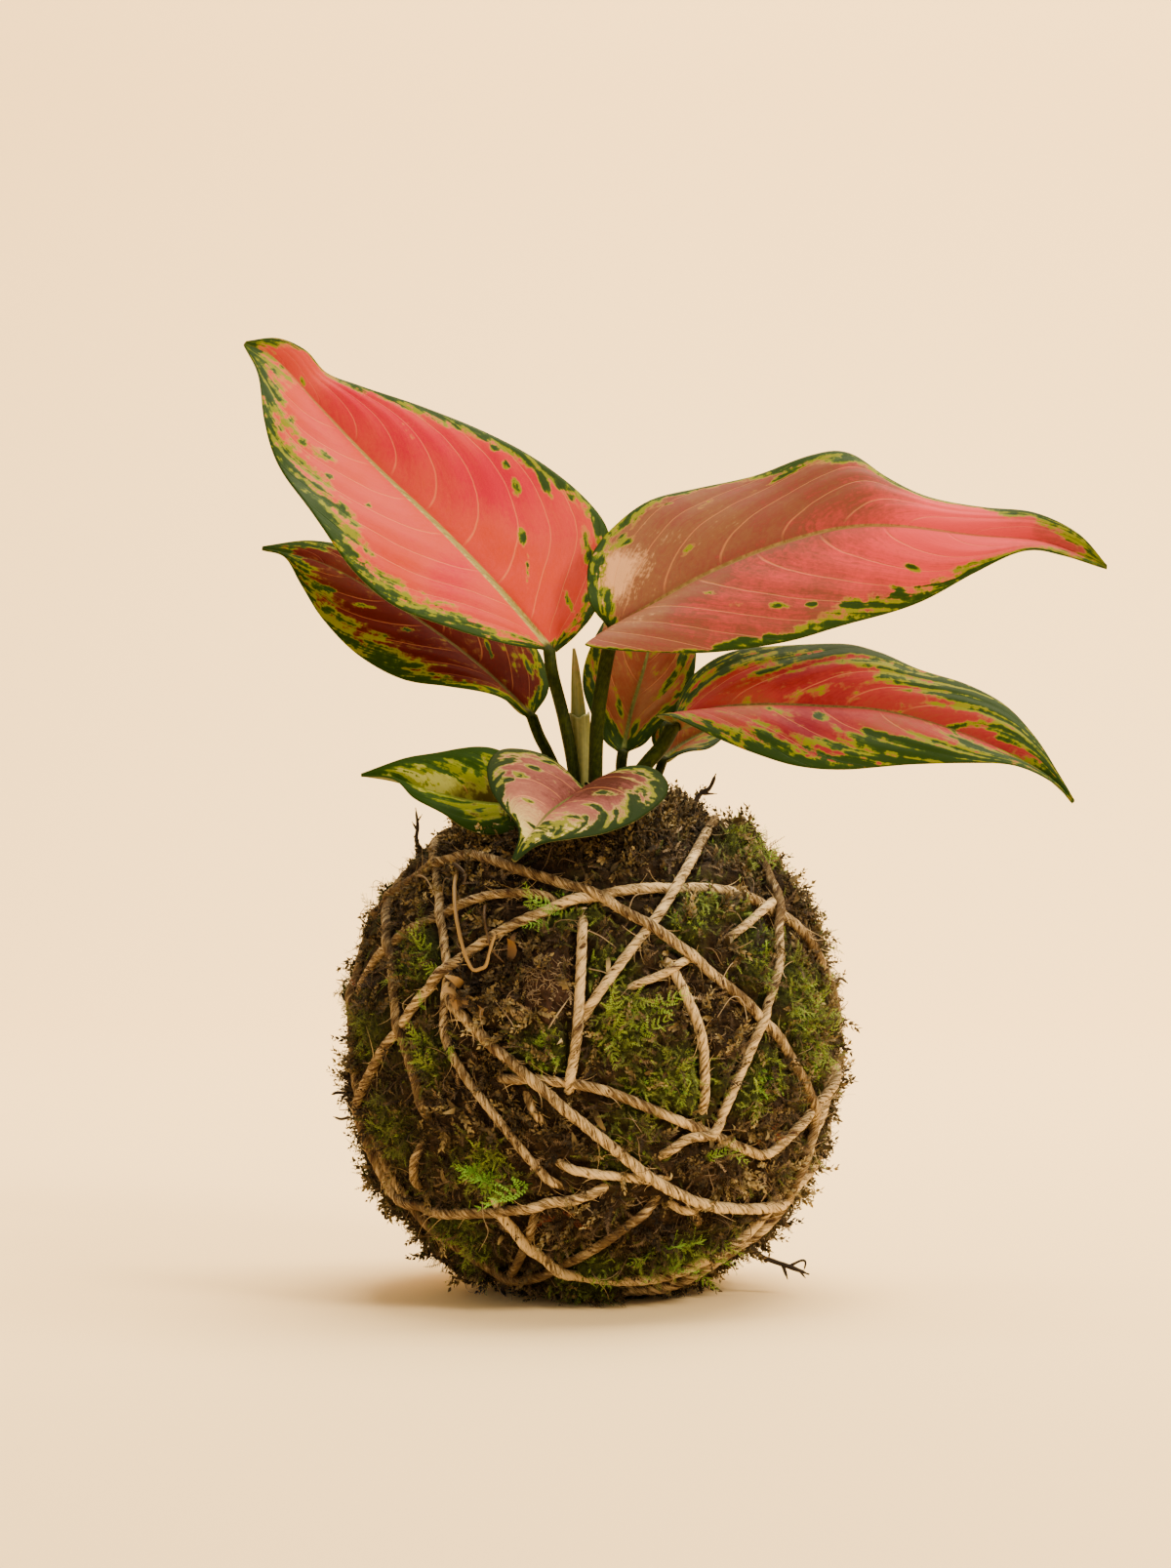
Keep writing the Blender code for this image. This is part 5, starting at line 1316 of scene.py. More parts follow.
# the leaves, each with its stalk from its foot in the soil, then the midrib and both margins from
# base to tip, in mm, with left and right as seen on the upper face with the tip up; a band is the
# width of the green edge, from base to tip, in mm; a fleck is (along, across, length, width, amount),
# with along from 0 to 1, across from -1 at the left margin to 1, and sizes in mm; a blush is
# (along, across, size, amount), more than 0 where the blade is deeper pink, and the blushes of two
# leaves hold painted shade and painted sheen, as said at each; and an edge, in mm, is
# for a leaf whose green is whole along the margin
leaves = {
    "leaf_upper_left": {
        "slot": "pink_leaf", "radius": 1.55, "camber": 1.2, "wave": 0.8, "veins": 8.6, "seed": 1,
        "petiole": [(-4, 1, 103.5), (-4.5, 1, 124.5), (-7, 2, 139.5), (-10, 3, 151.5)],
        "rib": [(-11, 4, 158.5), (-25, 8, 174.5), (-40, 13, 190), (-55, 19, 204.5), (-69.5, 24, 220),
                (-80.5, 27, 232), (-88.5, 26, 236)],
        "left": [(-12.5, 3, 157.5), (-22.5, -2, 159), (-35.5, -6, 162.5), (-49, -9, 168.5), (-60, -7, 178.5),
                 (-70, -1, 191.5), (-78, 7, 204), (-82, 13, 215.5), (-84.5, 22, 227.5), (-88.5, 26, 235.5)],
        "right": [(-9, 5, 157), (-4, 8, 161.5), (1, 13, 168.5), (4, 20, 180.5), (3.5, 23, 189.5),
                  (-4, 25, 198.5), (-16.5, 25, 207.5), (-30.5, 25, 215), (-44, 26, 220.5), (-58.5, 27, 225),
                  (-67.5, 29, 228.5), (-73, 29, 234.5), (-80, 28, 237.5), (-88, 26, 236.5)],
        "cream": (0.43, 0.085, 0.022), "pale": (0.42, 0.031, 0.010),
        "pink": (0.44, 0.038, 0.024), "deep": (0.41, 0.003, 0.022),
        "midrib": (0.18, 0.17, 0.045), "midribWide": 1.4, "halo": (0.44, 0.19, 0.040),
        "leftBand": [2.5, 4.5, 6.5, 6.0, 8.5, 9.0, 7.5, 7.0, 6.0],
        "rightBand": [3.0, 4.0, 3.5, 3.5, 3.2, 3.5, 2.6, 0.3, 5.0],
        "mottle": 0.04, "contrast": 1.5,
        "flecks": [(0.4, 0.88, 8, 2.2, 1), (0.4, 0.67, 5.5, 1.8, 1), (0.29, 0.42, 6, 1.6, 1),
                   (0.2, 0.3, 14, 0.9, 0.8), (0.62, 0.58, 8, 3, 0.55), (0.61, 0.92, 4, 1.6, 1),
                   (0.5, 0.88, 3, 2, 1), (0.46, 0.77, 3, 1.6, 1), (0.24, 0.8, 10, 2.4, 1),
                   (0.12, 0.65, 10, 1.4, 0.7), (0.61, -0.58, 5, 1.8, 1), (0.5, -0.45, 3.5, 1.8, 1),
                   (0.53, -0.68, 4, 2, 1), (0.71, -0.6, 2.5, 2, 1), (0.77, -0.55, 3, 2, 1),
                   (0.66, -0.47, 9, 5, 0.55), (0.35, -0.83, 12, 4, 0.5), (0.5, -0.85, 8, 4, 0.5),
                   (0.84, 0.13, 3, 0.8, 1), (0.9, -0.07, 3, 1.5, 0.9), (0.95, 0.0, 6, 4, 0.6)],
        "blushesAndPaintedLight": [(0.42, 0.6, 13, 0.55), (0.25, -0.45, 9, 0.35), (0.6, 0.5, 10, 0.3), (0.75, 0.6, 10, 0.4),
                    (0.2, 0.3, 14, -0.20), (0.38, 0.15, 10, -0.15), (0.35, -0.6, 9, -0.25),
                    (0.6, -0.3, 12, -0.12), (0.85, -0.3, 10, -0.2), (0.1, -0.1, 9, -0.15)],
    },
    "leaf_upper_right": {
        "slot": "salmon_leaf", "radius": 1.75, "camber": 1.5, "wave": 0.8, "veins": 8.2, "seed": 2,
        "petiole": [(0.5, -3, 102.5), (0.5, -3, 122.5), (1, -3, 139.5), (3, -4, 153.5)],
        "rib": [(5, -4.5, 162.5), (15.5, -3, 169), (28, -2, 176), (43.5, -2, 182.5), (60, -3, 187),
                (74.5, -5, 187.5), (93, -8, 185), (109.5, -12, 183), (124, -18, 176.5)],
        "left": [(3.5, -3.5, 163), (-0.5, -3, 168), (-1.5, 1, 174), (-0.5, 5, 180.5), (5, 9, 188),
                 (14, 11, 195), (26, 11, 198.5), (41, 10, 201.5), (54, 8, 205.5), (62.5, 7, 206),
                 (71.5, 5, 200.5), (82, 1, 195.5), (95.5, -4, 192.5), (107.5, -9, 190.5), (117.5, -14, 185),
                 (124, -18, 177)],
        "right": [(5, -6.5, 161), (1, -9.5, 159.5), (-2, -12, 158), (3, -13.5, 157), (12.5, -14, 156.5),
                  (29, -14, 156.5), (46.5, -14, 158.5), (61.5, -13, 163), (78.5, -13, 168.5),
                  (92.5, -13, 175.5), (104.5, -14, 180.5), (113.5, -16, 179.5), (124, -18, 176)],
        "cream": (0.53, 0.27, 0.12), "pale": (0.175, 0.074, 0.032),
        "pink": (0.165, 0.044, 0.028), "deep": (0.54, 0.038, 0.046),
        "midrib": (0.13, 0.080, 0.022), "midribWide": 1.1, "halo": (0.38, 0.19, 0.040),
        "leftBand": [7.5, 5.5, 2.4, 1.2, 2.6, 3.6, 0.8, 3.0, 5.0],
        "rightBand": [1.2, 0.9, 1.2, 2.4, 5.0, 4.8, 3.4, 1.4, 2.4],
        "mottle": 0.02, "contrast": 1.3,
        "flecks": [(0.18, -0.77, 5, 2, 0.9), (0.23, -0.32, 5, 1.6, 0.6), (0.32, -0.73, 5, 1.6, 0.5),
                   (0.27, -0.87, 4, 1.6, 0.7), (0.46, -0.85, 12, 1.3, 0.95), (0.55, -0.87, 6, 2.5, 1),
                   (0.4, -0.75, 4, 1.5, 0.5), (0.83, -0.82, 8, 2.5, 1), (0.91, -0.93, 12, 2.5, 1),
                   (0.63, 0.53, 5, 2, 0.85), (0.61, 0.78, 5, 3, 1), (0.53, 0.83, 8, 3.5, 1),
                   (0.45, 0.72, 3, 1.8, 1), (0.39, 0.67, 6, 1.6, 0.8), (0.3, 0.57, 4, 1.6, 0.7),
                   (0.24, 0.35, 5, 1, 0.6), (0.33, 0.95, 8, 2.8, 0.95), (0.38, 0.93, 4, 2.5, 1),
                   (0.46, 0.97, 6, 3, 1)],
        # painted sheen: the blushes below 0 at across below 0, near the base, turn the curved lobe there
        # toward the cream colour
        "blushesAndPaintedLight": [(0.12, -0.8, 7, -0.45), (0.06, -0.95, 8, -0.5), (0.2, -0.5, 22, -0.18),
                    (0.35, -0.3, 14, -0.08), (0.35, 0.4, 16, 0.2), (0.6, 0.35, 14, 0.45),
                    (0.75, 0.0, 14, 0.5), (0.7, -0.5, 9, 0.25), (0.12, 0.3, 9, -0.3), (0.9, 0.2, 10, 0.2)],
    },
    "leaf_lower_right": {
        "slot": "deep_pink_leaf", "radius": 1.9, "camber": 1.6, "wave": 0.7, "veins": 7.4, "seed": 3,
        "petiole": [(5, 0, 103.5), (6, 0, 118.5), (12, 0, 128), (17, 0, 134)],
        "rib": [(20, 0, 139.5), (29.5, 1, 143), (42.5, 1, 144), (56.5, -1, 143.5), (70, -4, 142.5),
                (83.5, -8, 139), (97, -13, 133.5), (107.5, -18, 127.5), (115.5, -22, 120)],
        "left": [(20, 1.5, 141), (21.5, 6, 146), (25.5, 9, 152), (34, 10, 157), (46.5, 10, 159),
                 (61.5, 8, 159.5), (70.5, 6, 157), (80, 3, 152.5), (91.5, -2, 149), (100.5, -7, 144),
                 (107, -13, 136), (112, -19, 127), (115.5, -22, 120.5)],
        "right": [(20, -2, 139), (15.5, -4, 141), (19.5, -6, 140.5), (28.5, -9, 136.5), (38.5, -12, 132.5),
                  (49.5, -14, 128.5), (60.5, -15, 127.5), (76, -16, 129.5), (90, -18, 129.5),
                  (101.5, -20, 128.5), (110.5, -22, 124.5), (115, -22, 119.5)],
        "cream": (0.22, 0.11, 0.028), "pale": (0.22, 0.046, 0.022),
        "pink": (0.26, 0.024, 0.022), "deep": (0.17, 0.007, 0.016),
        "midrib": (0.070, 0.055, 0.018), "midribWide": 0.62, "halo": (0.30, 0.13, 0.030),
        "leftBand": [3.0, 4.5, 4.5, 5.0, 7.0, 7.5, 6.5, 6.5, 7.0],
        "rightBand": [1.5, 2.4, 4.5, 7.0, 7.5, 6.5, 6.0, 6.5, 8.0],
        "mottle": 0.20, "contrast": 2.1,
        "flecks": [(0.37, 0.22, 5, 2.5, 1), (0.44, 0.58, 5, 2.5, 1), (0.5, 0.48, 7, 2.5, 1),
                   (0.28, 0.65, 7, 1.6, 0.9), (0.29, -0.7, 5, 2.5, 1), (0.24, -0.52, 12, 1.6, 0.95),
                   (0.5, -0.57, 8, 2.2, 1), (0.62, -0.55, 8, 2, 1), (0.54, -0.13, 10, 3, 0.55),
                   (0.46, -0.67, 4, 1.8, 1), (0.66, 0.03, 8, 1.4, 0.8), (0.79, -0.27, 6, 2.5, 1),
                   (0.16, -0.67, 9, 2, 0.95), (0.9, 0, 10, 6, 0.6)],
        "blushesAndPaintedLight": [(0.35, 0.5, 8, 0.5), (0.3, -0.3, 9, 0.35), (0.2, 0.2, 8, -0.35), (0.55, 0.15, 10, -0.2),
                    (0.45, -0.35, 8, 0.2)],
    },
    "leaf_lower_left": {
        "slot": "deep_pink_leaf", "radius": 1.45, "camber": 1.2, "wave": 0.6, "veins": 7, "seed": 4,
        "gloss": 0.01,
        "petiole": [(-5, 8.5, 103.5), (-6, 9, 119.5), (-11, 9.5, 131.5), (-13.5, 10, 136.5)],
        "rib": [(-15.5, 10, 142), (-26.5, 15, 152.5), (-38.5, 20, 162), (-53.5, 25, 172), (-69, 30, 180.5),
                (-84.5, 33, 184.5)],
        "left": [(-16.5, 9, 141), (-23.5, 8, 146), (-36, 9, 148.5), (-48, 11, 151), (-59.5, 16, 157),
                 (-68, 21, 166), (-74, 27, 175), (-78.5, 31, 182), (-84.5, 33, 184)],
        "right": [(-14.5, 12, 142), (-11.5, 18, 147), (-11.5, 24, 152.5), (-15.5, 30, 161), (-27, 34, 169.5),
                  (-42, 37, 177.5), (-57, 38, 183.5), (-72, 36, 186.5), (-84.5, 33, 185)],
        # painted shadow: this leaf's colours are darkened throughout for the shadow that the upper left leaf
        # casts on it
        "cream": (0.090, 0.032, 0.008), "pale": (0.080, 0.016, 0.006),
        "pink": (0.070, 0.008, 0.004), "deep": (0.052, 0.004, 0.003),
        "midrib": (0.060, 0.050, 0.015), "midribWide": 0.7, "halo": (0.16, 0.07, 0.018),
        "leftBand": [2.0, 1.6, 2.5, 4.5, 6.0, 5.0, 4.0, 4.0, 4.0],
        "rightBand": [3.0, 3.0, 2.5, 2.5, 2.5, 2.5, 3.0, 3.5, 4.0],
        "mottle": 0.20, "contrast": 1.9,
        "flecks": [(0.74, -0.53, 6, 2, 1), (0.6, -0.32, 7, 1.5, 0.9), (0.52, -0.62, 9, 3, 1),
                   (0.29, -0.83, 8, 1, 0.8), (0.45, -0.25, 5, 1, 0.8), (0.27, 0.32, 8, 1, 0.9),
                   (0.18, 0.68, 8, 3, 0.9)],
        "blushesAndPaintedLight": [(0.4, -0.3, 12, 0.2), (0.7, 0.2, 10, -0.2)],
    },
    "leaf_back_middle": {
        "slot": "deep_pink_leaf", "radius": 1.4, "camber": 1.0, "wave": 0.5, "veins": 6, "seed": 5,
        "petiole": [(7, 8.5, 103.5), (7, 9, 118.5), (7, 9, 125.5), (7, 9, 129.5)],
        "rib": [(7.5, 10, 133), (9.5, 14, 142.5), (12.5, 18, 152.5), (15, 23, 162), (17.5, 29, 172.5),
                (19.5, 35, 181.5)],
        "left": [(6, 9, 132.5), (2.5, 9, 135.5), (-1, 10, 143), (-2.5, 12, 149.5), (-1.5, 16, 156.5),
                 (2.5, 22, 165), (9.5, 30, 174.5), (19, 35, 181.5)],
        "right": [(9, 10, 132.5), (13, 9, 134.5), (17, 10, 139.5), (21.5, 11, 144), (25, 14, 150),
                  (26, 18, 158.5), (25.5, 24, 167), (23.5, 31, 175.5), (20, 35, 181.5)],
        "cream": (0.24, 0.15, 0.045), "pale": (0.20, 0.085, 0.030),
        "pink": (0.18, 0.052, 0.022), "deep": (0.15, 0.028, 0.014),
        "midrib": (0.070, 0.085, 0.020), "midribWide": 0.8, "halo": (0.22, 0.12, 0.030),
        "leftBand": [4.0, 3.5, 3.0, 3.0, 3.5, 3.0, 3.0, 3.0, 4.0],
        "rightBand": [3.5, 2.5, 2.5, 3.0, 3.5, 3.5, 3.0, 3.0, 4.0],
        "mottle": 0.22, "contrast": 2.0,
        "flecks": [(0.2, -0.3, 7, 1.6, 0.9), (0.35, 0.6, 8, 2, 0.95), (0.12, 0.3, 6, 2, 0.8),
                   (0.5, -0.4, 7, 1.6, 0.9)],
        "blushesAndPaintedLight": [(0.5, 0.2, 9, 0.2), (0.25, 0.2, 7, -0.2)],
    },
    "leaf_back_right": {
        "slot": "deep_pink_leaf", "radius": 1.2, "camber": 0.8, "wave": 0.4, "veins": 5, "seed": 6,
        "petiole": [(11.5, 5.5, 103.5), (12.5, 5.5, 116.5), (14.5, 6, 123.5), (16.3, 6, 127.5)],
        "rib": [(17.5, 6.5, 131), (22.5, 12, 134.5), (28, 17, 137.5), (34, 22, 141.5), (40, 27, 146.5)],
        "left": [(16.5, 7.5, 131.5), (14.5, 11, 135.5), (16.5, 14, 140), (22, 19, 144), (29, 23, 147),
                 (35, 26, 148), (40, 27, 146.8)],
        "right": [(18.7, 6, 130.5), (24, 7, 132.5), (29, 9, 133.5), (32.5, 12, 135.5), (36.5, 18, 139.5),
                  (40, 26.7, 146)],
        "cream": (0.24, 0.16, 0.048), "pale": (0.20, 0.090, 0.030),
        "pink": (0.17, 0.052, 0.019), "deep": (0.15, 0.028, 0.014),
        "midrib": (0.070, 0.085, 0.020), "midribWide": 0.8, "halo": (0.22, 0.12, 0.030),
        "leftBand": [2.0, 2.0, 2.2, 2.2, 2.2, 2.2, 2.0, 2.0, 3.0],
        "rightBand": [2.0, 2.0, 2.2, 2.2, 2.2, 2.2, 2.0, 2.0, 3.0],
        "mottle": 0.24, "contrast": 2.0, "flecks": [], "blushesAndPaintedLight": [],
    },
    "leaf_front_heart": {
        "slot": "pale_pink_leaf", "radius": 1.6, "camber": 1.2, "wave": 0.4, "veins": 6, "seed": 7,
        "gloss": 0.008,
        "petiole": [(0.5, -27, 99.5), (0.3, -31.5, 107.5), (0, -35, 115), (-0.6, -36, 119.5)],
        "rib": [(-2, -35.5, 123.2), (-6.5, -45.5, 120.5), (-10.5, -56.5, 117.5), (-13.5, -66.5, 114),
                (-16, -74.5, 111), (-18, -78.5, 107)],
        "left": [(-0.5, -34.5, 124), (3.5, -26.5, 126.5), (8.5, -23.5, 128.5), (14, -25.5, 128),
                 (17.5, -32.5, 125), (16.5, -41.5, 121), (10.5, -52.5, 116), (3, -61.5, 113.5),
                 (-5, -69.5, 112), (-12.5, -74.5, 110.5), (-17.5, -78.5, 107)],
        "right": [(-3.3, -34.5, 124.3), (-8, -24.5, 129), (-13, -21.5, 132), (-18.5, -23.5, 133),
                  (-22.5, -30.5, 132), (-25, -40.5, 128.5), (-24, -50.5, 124), (-21, -59.5, 119),
                  (-18, -66.5, 115.5), (-17, -73.5, 112), (-18.5, -78.5, 107.5)],
        "cream": (0.34, 0.22, 0.090), "pale": (0.22, 0.080, 0.052),
        # the deep colour is dark, for the painted shade on the lobe that lies at across below 0
        "pink": (0.145, 0.044, 0.036), "deep": (0.040, 0.010, 0.006),
        "lime": (0.125, 0.125, 0.012), "midGreen": (0.024, 0.040, 0.008), "green": (0.010, 0.020, 0.005),
        "midrib": (0.045, 0.048, 0.012), "midribWide": 0.9, "halo": (0.34, 0.26, 0.070),
        "leftBand": [3.5, 5.0, 7.0, 8.5, 9.0, 8.0, 6.5, 4.0, 2.0],
        "rightBand": [4.0, 5.0, 6.0, 6.0, 5.5, 5.0, 4.0, 3.0, 1.6],
        "mottle": 0.12, "contrast": 1.55, "edge": 1.9, "tip": (0.42, 0.34, 0.110),
        "flecks": [(0.35, -0.45, 7, 2.2, 1), (0.48, -0.42, 7, 2.2, 1), (0.58, -0.3, 7, 2, 0.95),
                   (0.3, 0.55, 5, 2.2, 1), (0.42, 0.55, 6, 2.2, 1), (0.55, 0.3, 5, 1.8, 1),
                   (0.68, 0.0, 10, 1.6, 0.8), (0.2, 0.75, 5, 2.2, 1), (0.1, 0.8, 5, 2.2, 0.9),
                   (0.52, 0.7, 5, 2, 0.9), (0.2, -0.3, 5, 1.2, 0.7), (0.7, -0.5, 4, 1.5, 0.9)],
        # painted shade: the blushes above 0 at across below 0 darken the lobe on the right as seen from the
        # front, where the leaves above shade it
        "blushesAndPaintedLight": [(0.15, 0.3, 9, 0.15), (0.1, -0.6, 12, 0.45), (0.3, -0.5, 9, 0.25), (0.6, 0.2, 9, -0.4),
                    (0.5, -0.3, 6, -0.2)],
    },
    "leaf_front_green": {
        "slot": "green_leaf", "radius": 1.4, "camber": 1.0, "wave": 0.5, "veins": 6, "seed": 8,
        "gloss": 0.008,
        "petiole": [(-5, -9, 103.5), (-5.5, -11, 113), (-6.2, -13.5, 119), (-7.6, -17.3, 121.6)],
        "rib": [(-10, -20, 121.3), (-18.5, -21, 119.5), (-27.5, -22, 120), (-37, -22, 122),
                (-46.5, -21, 125), (-56, -20, 126.5)],
        "left": [(-9.6, -21.6, 120.7), (-14, -28, 116.5), (-21.5, -30.5, 112.9), (-30, -31, 113.6),
                 (-36.5, -30.5, 117), (-42.5, -27.5, 121), (-47.5, -23.5, 125.3), (-56, -20.5, 126.3)],
        "right": [(-9.6, -18.8, 122.1), (-13, -13, 125.5), (-17.5, -11, 129), (-23.5, -11, 132.5),
                  (-32.5, -13, 133), (-42, -15, 131.5), (-50, -18, 129), (-56, -19.7, 126.8)],
        "cream": (0.22, 0.22, 0.038), "pale": (0.115, 0.112, 0.014),
        "pink": (0.055, 0.044, 0.004), "deep": (0.032, 0.024, 0.002),
        "lime": (0.105, 0.118, 0.004), "midGreen": (0.030, 0.056, 0.004), "green": (0.012, 0.028, 0.003),
        "midrib": (0.075, 0.095, 0.014), "midribWide": 0.8, "halo": (0.22, 0.22, 0.030),
        "leftBand": [5.5, 7.5, 9.0, 9.0, 8.5, 7.0, 6.0, 5.0, 5.0],
        "rightBand": [6.0, 8.0, 9.5, 10.0, 9.0, 8.0, 6.0, 5.0, 5.0],
        "mottle": 0.12, "contrast": 1.15, "edge": 2.4,
        "flecks": [(0.15, 0, 8, 6, 0.7), (0.3, 0.3, 10, 2, 0.8)],
        "blushesAndPaintedLight": [(0.2, -0.2, 12, 0.55), (0.3, 0.4, 10, 0.3), (0.58, 0.1, 8, -0.55), (0.75, 0, 8, -0.45)],
    },
}

blade = {
    "rows": 170, "halfColumns": 32, "petioleRings": 46, "tipShare": 0.998,
    "thickness": 0.50, "margin": 0.16,        # in mm
    "waves": 2.5, "waveLag": 0.9,
    "veinSweep": 0.48, "veinBend": 1.6,       # how far towards the tip the side veins run
    "quilt": 0.12, "groove": 0.45, "gloss": 0.05,
    "edge": 0.55,                             # in mm, the width of the whole green along the margin
    "green": (0.016, 0.036, 0.005), "midGreen": (0.042, 0.074, 0.006), "lime": (0.160, 0.172, 0.003),
    "vein": (0.70, 0.27, 0.09), "under": (0.20, 0.21, 0.09),
    "stalk": (0.008, 0.013, 0.001), "stalkLight": (0.030, 0.040, 0.002),
}


def gridNormals(grid):
    return unit(np.cross(np.gradient(grid, axis=1), np.gradient(grid, axis=0)))


def paintedGreen(leaf, t, across, rim, ribWay, length):
    # how green the blade is: over 0.6 green, over 0.4 yellow-green, less than that pink; and how deep
    # its pink is, which is cream at 0, with the painted shade and painted sheen of some blushes in it
    shares = np.linspace(0, 1, len(leaf["leftBand"]))
    left, right = (np.interp(t, shares, leaf[part]) for part in ("leftBand", "rightBand"))
    band = np.where(across < 0, left, right)
    green = leaf["mottle"] + 0.42 * ramp(rim, 1.7 * band, 0.75 * band)
    green = green + 0.30 * ramp(rim, 0.62 * band, 0.25 * band)
    for along, side, long, wide, amount in leaf["flecks"]:
        spot = np.unravel_index((np.abs(t - along) + 0.3 * np.abs(across - side)).argmin(), t.shape)
        half = ribWay[spot[0], 0 if side < 0 else -1]
        run = blade["veinSweep"] * blade["veinBend"] * max(abs(side), 0.1) ** (blade["veinBend"] - 1) * length
        cosine, sine = unit(np.array([run, half]))
        forward, outward = (t - t[spot]) * length, ribWay - ribWay[spot]
        apart = ((forward * cosine + outward * sine) / (0.56 * long)) ** 2
        apart = apart + ((outward * cosine - forward * sine) / (0.60 * wide)) ** 2
        sameSide = (across * side > 0) | (abs(side) < 0.05)
        green = np.maximum(green, amount * 0.80 * np.exp(-(apart**1.2)) * sameSide)
    green = np.maximum(green, 0.98 * np.exp(-((rim / leaf.get("edge", blade["edge"])) ** 2)))
    # the blushes add the blade's own deeper and paler pink, and on two leaves painted shade and painted sheen
    blush = np.full(t.shape, 0.55)
    for along, side, size, amount in leaf["blushesAndPaintedLight"]:
        spot = np.unravel_index((np.abs(t - along) + np.abs(across - side)).argmin(), t.shape)
        apart = ((t - along) * length) ** 2 + (ribWay * np.sign(across) - ribWay[spot] * np.sign(side)) ** 2
        blush = blush + amount * np.exp(-apart / size**2)
    return green, blush


def bladeRings(leaf):
    # closed rings round the blade, from its base to its tip, and what the leaf's material reads there
    even = np.linspace(0, 1, blade["rows"])
    t = blade["tipShare"] * (0.5 * even + 0.25 * (1 - np.cos(np.pi * even)))
    rib, left, right = (readAlong(smoothLine(leaf[part]), t) for part in ("rib", "left", "right"))
    across = np.linspace(-1, 1, 2 * blade["halfColumns"] + 1)
    side = np.abs(across)[None, :]
    margin = np.where(across[None, :, None] < 0, left[:, None], right[:, None])
    grid = rib[:, None] * (1 - side[..., None]) + margin * side[..., None]
    half = np.linalg.norm(margin - rib[:, None], axis=-1)
    length = lineLengths(rib)[-1]
    ribWay = side * half
    down = t[:, None]
    rim = np.minimum((1 - side) * half, (1 - down) * length * 0.5 + 0.15)
    veinWay = leaf["veins"] * (down - blade["veinSweep"] * side ** blade["veinBend"]) + 0.4 * (across > 0)
    normal = gridNormals(grid)
    along = np.sin(np.pi * t)[:, None]
    swell = np.sin(np.pi * side) * leaf["camber"] * along
    phase = down * 2 * np.pi * blade["waves"] + across[None] * blade["waveLag"]
    ripple = side**2 * leaf["wave"] * np.sin(phase) * along
    quilt = -blade["quilt"] * np.cos(2 * np.pi * veinWay) * ramp(ribWay, 1, 7) * ramp(rim, 0, 5)
    quilt = quilt * along**0.5
    groove = -blade["groove"] * np.exp(-((ribWay / 1.3) ** 2)) * (1 - down) ** 0.7 * ramp(down, 0, 0.04)
    uneven = 0.35 * cloud(grid, 14.0, leaf["seed"]) * ramp(ribWay, 0, 8) * along
    grid = grid + normal * (swell + ripple + quilt + groove + uneven)[..., None]
    normal = gridNormals(grid)
    thick = blade["margin"] + (blade["thickness"] - blade["margin"]) * np.sqrt(1 - side**6)
    keel = np.clip(1 - (side * (1.5 + 4 * down)) ** 2, 0, 1) * leaf["radius"] * 1.1 * (1 - down) ** 1.5
    above = grid + normal * (thick / 2)[..., None]
    below = grid - normal * (thick / 2 + keel)[..., None]
    rings = np.concatenate([above, below[:, ::-1]], axis=1)
    place = np.broadcast_to(down, half.shape)
    across = np.broadcast_to(across[None], half.shape)
    green, blush = paintedGreen(leaf, place, across, rim, ribWay, length)
    marks = {
        "vein": veinWay, "ribway": ribWay, "rim": rim, "green": green, "blush": blush,
        "lengthway": place, "ribshare": ribWay / (leaf["midribWide"] * (1 - place) + 0.2),
    }
    marks = {name: np.concatenate([values, values[:, ::-1]], axis=1) for name, values in marks.items()}
    marks["upper"] = np.concatenate([np.ones_like(half), np.zeros_like(half)], axis=1)
    return rings, marks, unit(grid[0, -1] - grid[0, 0]), normal[0, blade["halfColumns"]]


def stalkRings(leaf, side, upper):
    # rings round the stalk from its foot, turned to meet the blade
    shares = np.linspace(0, 1, blade["petioleRings"] + 1)
    line = readAlong(smoothLine(leaf["petiole"] + leaf["rib"][:1]), shares)
    ways = unit(np.gradient(line, axis=0))
    top = np.linspace(np.pi - 0.05, 0.05, 2 * blade["halfColumns"] + 1)
    turns = np.concatenate([top, -top[::-1]])
    rings = []
    for number, (centre, way) in enumerate(zip(line[-2::-1], ways[-2::-1])):
        side = unit(side - way * np.dot(side, way))
        up = np.cross(way, side)
        up = up if np.dot(up, upper) > 0 else -up
        # a shallow channel down the upper side, and a wider foot
        channel = np.exp(-(((np.abs(turns) - np.pi / 2) / 0.5) ** 2)) * (turns > 0)
        radius = leaf["radius"] * (1 - 0.10 * channel)
        radius = radius * (1 + 0.22 * ramp(number / blade["petioleRings"], 0.6, 1.0))
        out = np.cos(turns)[:, None] * side + np.sin(turns)[:, None] * up
        rings.insert(0, centre + radius[:, None] * out)
        upper = up
    return np.array(rings), lineLengths(line)[-1]


